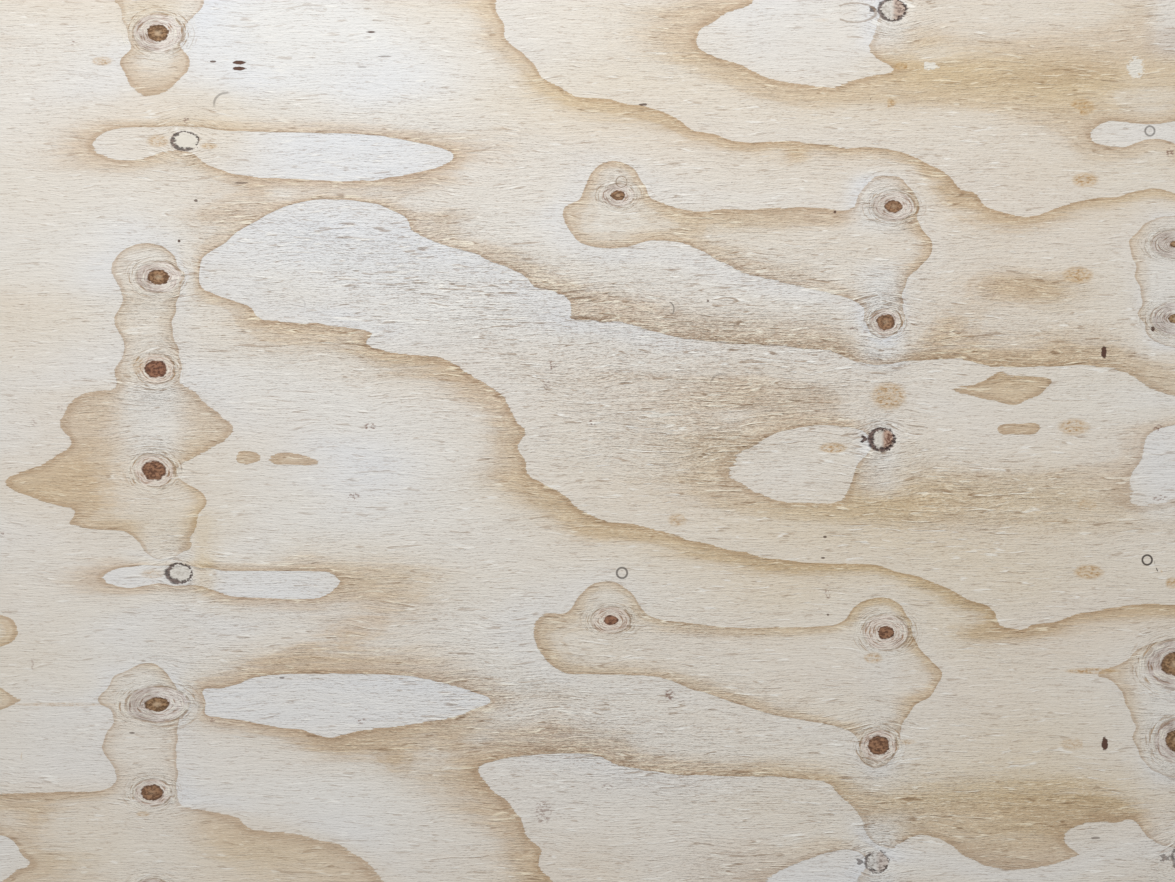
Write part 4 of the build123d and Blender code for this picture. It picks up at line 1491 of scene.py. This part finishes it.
# %% Small marks: their colours
grit = times(marks, stain, ease(marks, ragged, 0.04, 0.16))
resin = largest(marks, dash, pair)
dark = largest(marks, resin, stem, arc)
looks = given["Color"]
for mask, amount, colour in (
    (scar, 1, shade(234, 228, 216)),
    (loop, 0.75, shade(150, 126, 104)),
    (stain, 0.7, shade(202, 166, 114)),
    (grit, 0.6, shade(168, 124, 76)),
    (specks, 0.75, shade(128, 88, 74)),
    (dark, 0.92, shade(72, 62, 56)),
    (resin, 0.85, shade(98, 66, 52)),
):
    looks = mixed(marks, times(marks, mask, amount), looks, colour)
join_all(marks, out, Color=looks, Height=times(marks, dark, -1.0))
print("small marks", len(marks.nodes), "nodes")

# %% [markdown]
# ## The finishes
#
# The peeled face and back are two versions of one material, and only the faces near a knot or mark
# carry the nodes for those. The sawn edge is a material of its own.

# %% Peeled veneer
FIBRE_HIGH, LINE_HIGH = 2 * MM, 0.25 * MM  # bump of lifted fibres, and of the fine fibre lines
KNOT_HIGH, MARK_HIGH = 0.28 * MM, 0.2 * MM
BACK_ROUGH = 1.3


def veneer(name, with_features, rough=1.0):
    """The peeled surface, with or without knots and marks."""
    material, tree, surface = new_material(name)
    noise = use_group(tree, grain_noise)
    fine, broad = noise["Fine"], noise["Broad"]
    rings_here = use_group(tree, figure, Fine=fine, Broad=broad, Drift=noise["Drift"])
    late = rings_here["Latewood"]
    fibres_up = use_group(
        tree,
        lifted,
        Color=rings_here["Color"],
        Dash=noise["Dash"],
        Broad=broad,
        Edge=noise["Edge"],
        Patch=noise["Patch"],
        Rough=times(tree, rings_here["Rough"], rough),
        Latewood=late,
    )
    colour = fibres_up["Color"]
    height = times_plus(tree, fine, LINE_HIGH, times(tree, fibres_up["Height"], FIBRE_HIGH))
    features = ((knots, KNOT_HIGH), (marks, MARK_HIGH)) if with_features else ()
    for group, group_high in features:
        feature = use_group(tree, group, Color=colour)
        colour = feature["Color"]
        height = times_plus(tree, feature["Height"], group_high, height)
    gloss = straight(tree, late, 0, 1, 0.72, 0.6)
    join_all(tree, surface, Base_Color=colour, Roughness=gloss, Normal=bumped(tree, height))
    surface["Specular IOR Level"].default_value = 0.25
    return material


finishes = [
    veneer("peeled_face", False),
    veneer("peeled_face_with_knots", True),
    veneer("peeled_back", False, BACK_ROUGH),
    veneer("peeled_back_with_knots", True, BACK_ROUGH),
]
print("veneer finishes", len(finishes))

# %% [markdown]
# On a sawn edge every second ply shows its end grain, which drinks light and looks darker and
# dotted, and the others show streaks along the edge. The glue lines between them are thin and dark.

# %% Sawn edge
SAW_HIGH, DOT_HIGH = 0.15 * MM, 0.25 * MM
edge_finish, tree, surface = new_material("sawn_plies")
spot = parts_of(tree, object_place(tree))
facing = parts_of(tree, tree.nodes.new("ShaderNodeNewGeometry").outputs["Normal"])
on_end = ease(tree, sums(tree, "ABSOLUTE", facing["X"]), 0.4, 0.6)
along_edge = mixed(tree, on_end, joined(tree, spot["X"], spot["Z"]), joined(tree, spot["Y"], spot["Z"]))
level = sums(tree, "DIVIDE", spot["Z"], ply)
odd = is_kind(tree, sums(tree, "MODULO", sums(tree, "FLOOR", level), 2.0), 1)
end_grain = gap(tree, odd, on_end)
streak = grainy(tree, along_edge, (9, 900, 1), 3, 0.6)
tint = grainy(tree, along_edge, (5, 380, 1), 2, 0.5, 9)
dots = grainy(tree, along_edge, (700, 900, 1), 3, 0.7, 5)
saw = grainy(tree, along_edge, (320, 22, 1), 2, 0.5, 15)
long_wood = mixed(tree, ease(tree, streak, 0.35, 0.65), shade(206, 184, 150), shade(226, 210, 182))
end_wood = mixed(tree, ease(tree, dots, 0.35, 0.65), shade(150, 120, 84), shade(198, 170, 130))
wood = mixed(tree, end_grain, long_wood, end_wood)
wood = mixed(tree, ease(tree, tint, 0.45, 0.75, 0, 0.35), wood, shade(176, 138, 92))
part = sums(tree, "FRACT", level)
glue_gap = sums(tree, "MINIMUM", part, minus(tree, 1.0, part))
glue = ease(tree, nudged(tree, glue_gap, dots, 0.06), 0.085, 0.045)
inner = ease(tree, gap(tree, level, PLIES / 2), PLIES / 2 - 0.4, PLIES / 2 - 0.5)
wood = mixed(tree, times(tree, glue, inner, 0.75), wood, shade(88, 62, 44))
wood = mixed(tree, 1.0, wood, straight(tree, saw, 0.3, 0.7, 0.93, 1.05), "MULTIPLY")
height = times_plus(tree, saw, SAW_HIGH, times(tree, dots, end_grain, DOT_HIGH))
gloss = straight(tree, end_grain, 0, 1, 0.75, 0.9)
join_all(tree, surface, Base_Color=wood, Roughness=gloss, Normal=bumped(tree, height))
surface["Specular IOR Level"].default_value = 0.2
finishes.append(edge_finish)
print("sawn edge", len(tree.nodes), "nodes")

# %% Give each face its finish
SIDEWAYS = 0.6  # a normal with less than this upwards or downwards belongs to an edge
for finish in finishes:
    sheet.data.materials.append(finish)
centres, up, corners = face_facts(sheet)
corner_vertex = np.empty(len(sheet.data.loops), int)
sheet.data.loops.foreach_get("vertex_index", corner_vertex)
face_of_corner = np.repeat(np.arange(len(corners)), corners)
featured = np.zeros(len(corners), int)
np.maximum.at(featured, face_of_corner, (knot_near + mark_near > 0)[corner_vertex].astype(int))
finish_of_face = np.where(up > SIDEWAYS, featured, np.where(up < -SIDEWAYS, 2 + featured, 4))
sheet.data.polygons.foreach_set("material_index", finish_of_face.astype(np.int32))
sheet.data.update()
print("faces with knots or marks", int(featured.sum()), "of", len(corners))

# %% [markdown]
# ## A map for the bake
#
# The figure lives on the face, so the face gets most of the map, the back a strip, and the four
# edges a thin row each.

# %% Lay the map out
FACE_SHARE, BACK_SHARE, SPARE = 0.74, 0.19, 0.02
EDGES = 4
edge_high = (1 - FACE_SHARE - BACK_SHARE - SPARE) / EDGES
map_layer = sheet.data.uv_layers.new(name="OFBake")
normals = np.empty(len(corners) * 3)
sheet.data.polygons.foreach_get("normal", normals)
facing_x, facing_y, facing_z = normals.reshape(-1, 3)[face_of_corner].T
x, y, z = vertex_places(sheet)[corner_vertex].T
u, v, w = (x - low[0]) / length, (y - low[1]) / width, (z - low[2]) / thickness
top, bottom = facing_z > SIDEWAYS, facing_z < -SIDEWAYS
strip = np.select([facing_y < -SIDEWAYS, facing_y > SIDEWAYS, facing_x < -SIDEWAYS], [0, 1, 2], 3)
edge_v = FACE_SHARE + BACK_SHARE + SPARE + (strip + 0.1 + 0.8 * w) * edge_high
face_v = 0.002 + v * (FACE_SHARE - 0.004)
back_v = FACE_SHARE + 0.006 + v * (BACK_SHARE - 0.006)
map_u = np.where(top | bottom | (strip < 2), u, v) * 0.996 + 0.002
map_v = np.where(top, face_v, np.where(bottom, back_v, edge_v))
map_layer.data.foreach_set("uv", np.column_stack([map_u, map_v]).ravel())
print("map", FACE_SHARE, "face", BACK_SHARE, "back")

# %% Count, place and finish
print("triangles", int((corners - 2).sum()))
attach(sheet, "root")
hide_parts("plywood_sheet")
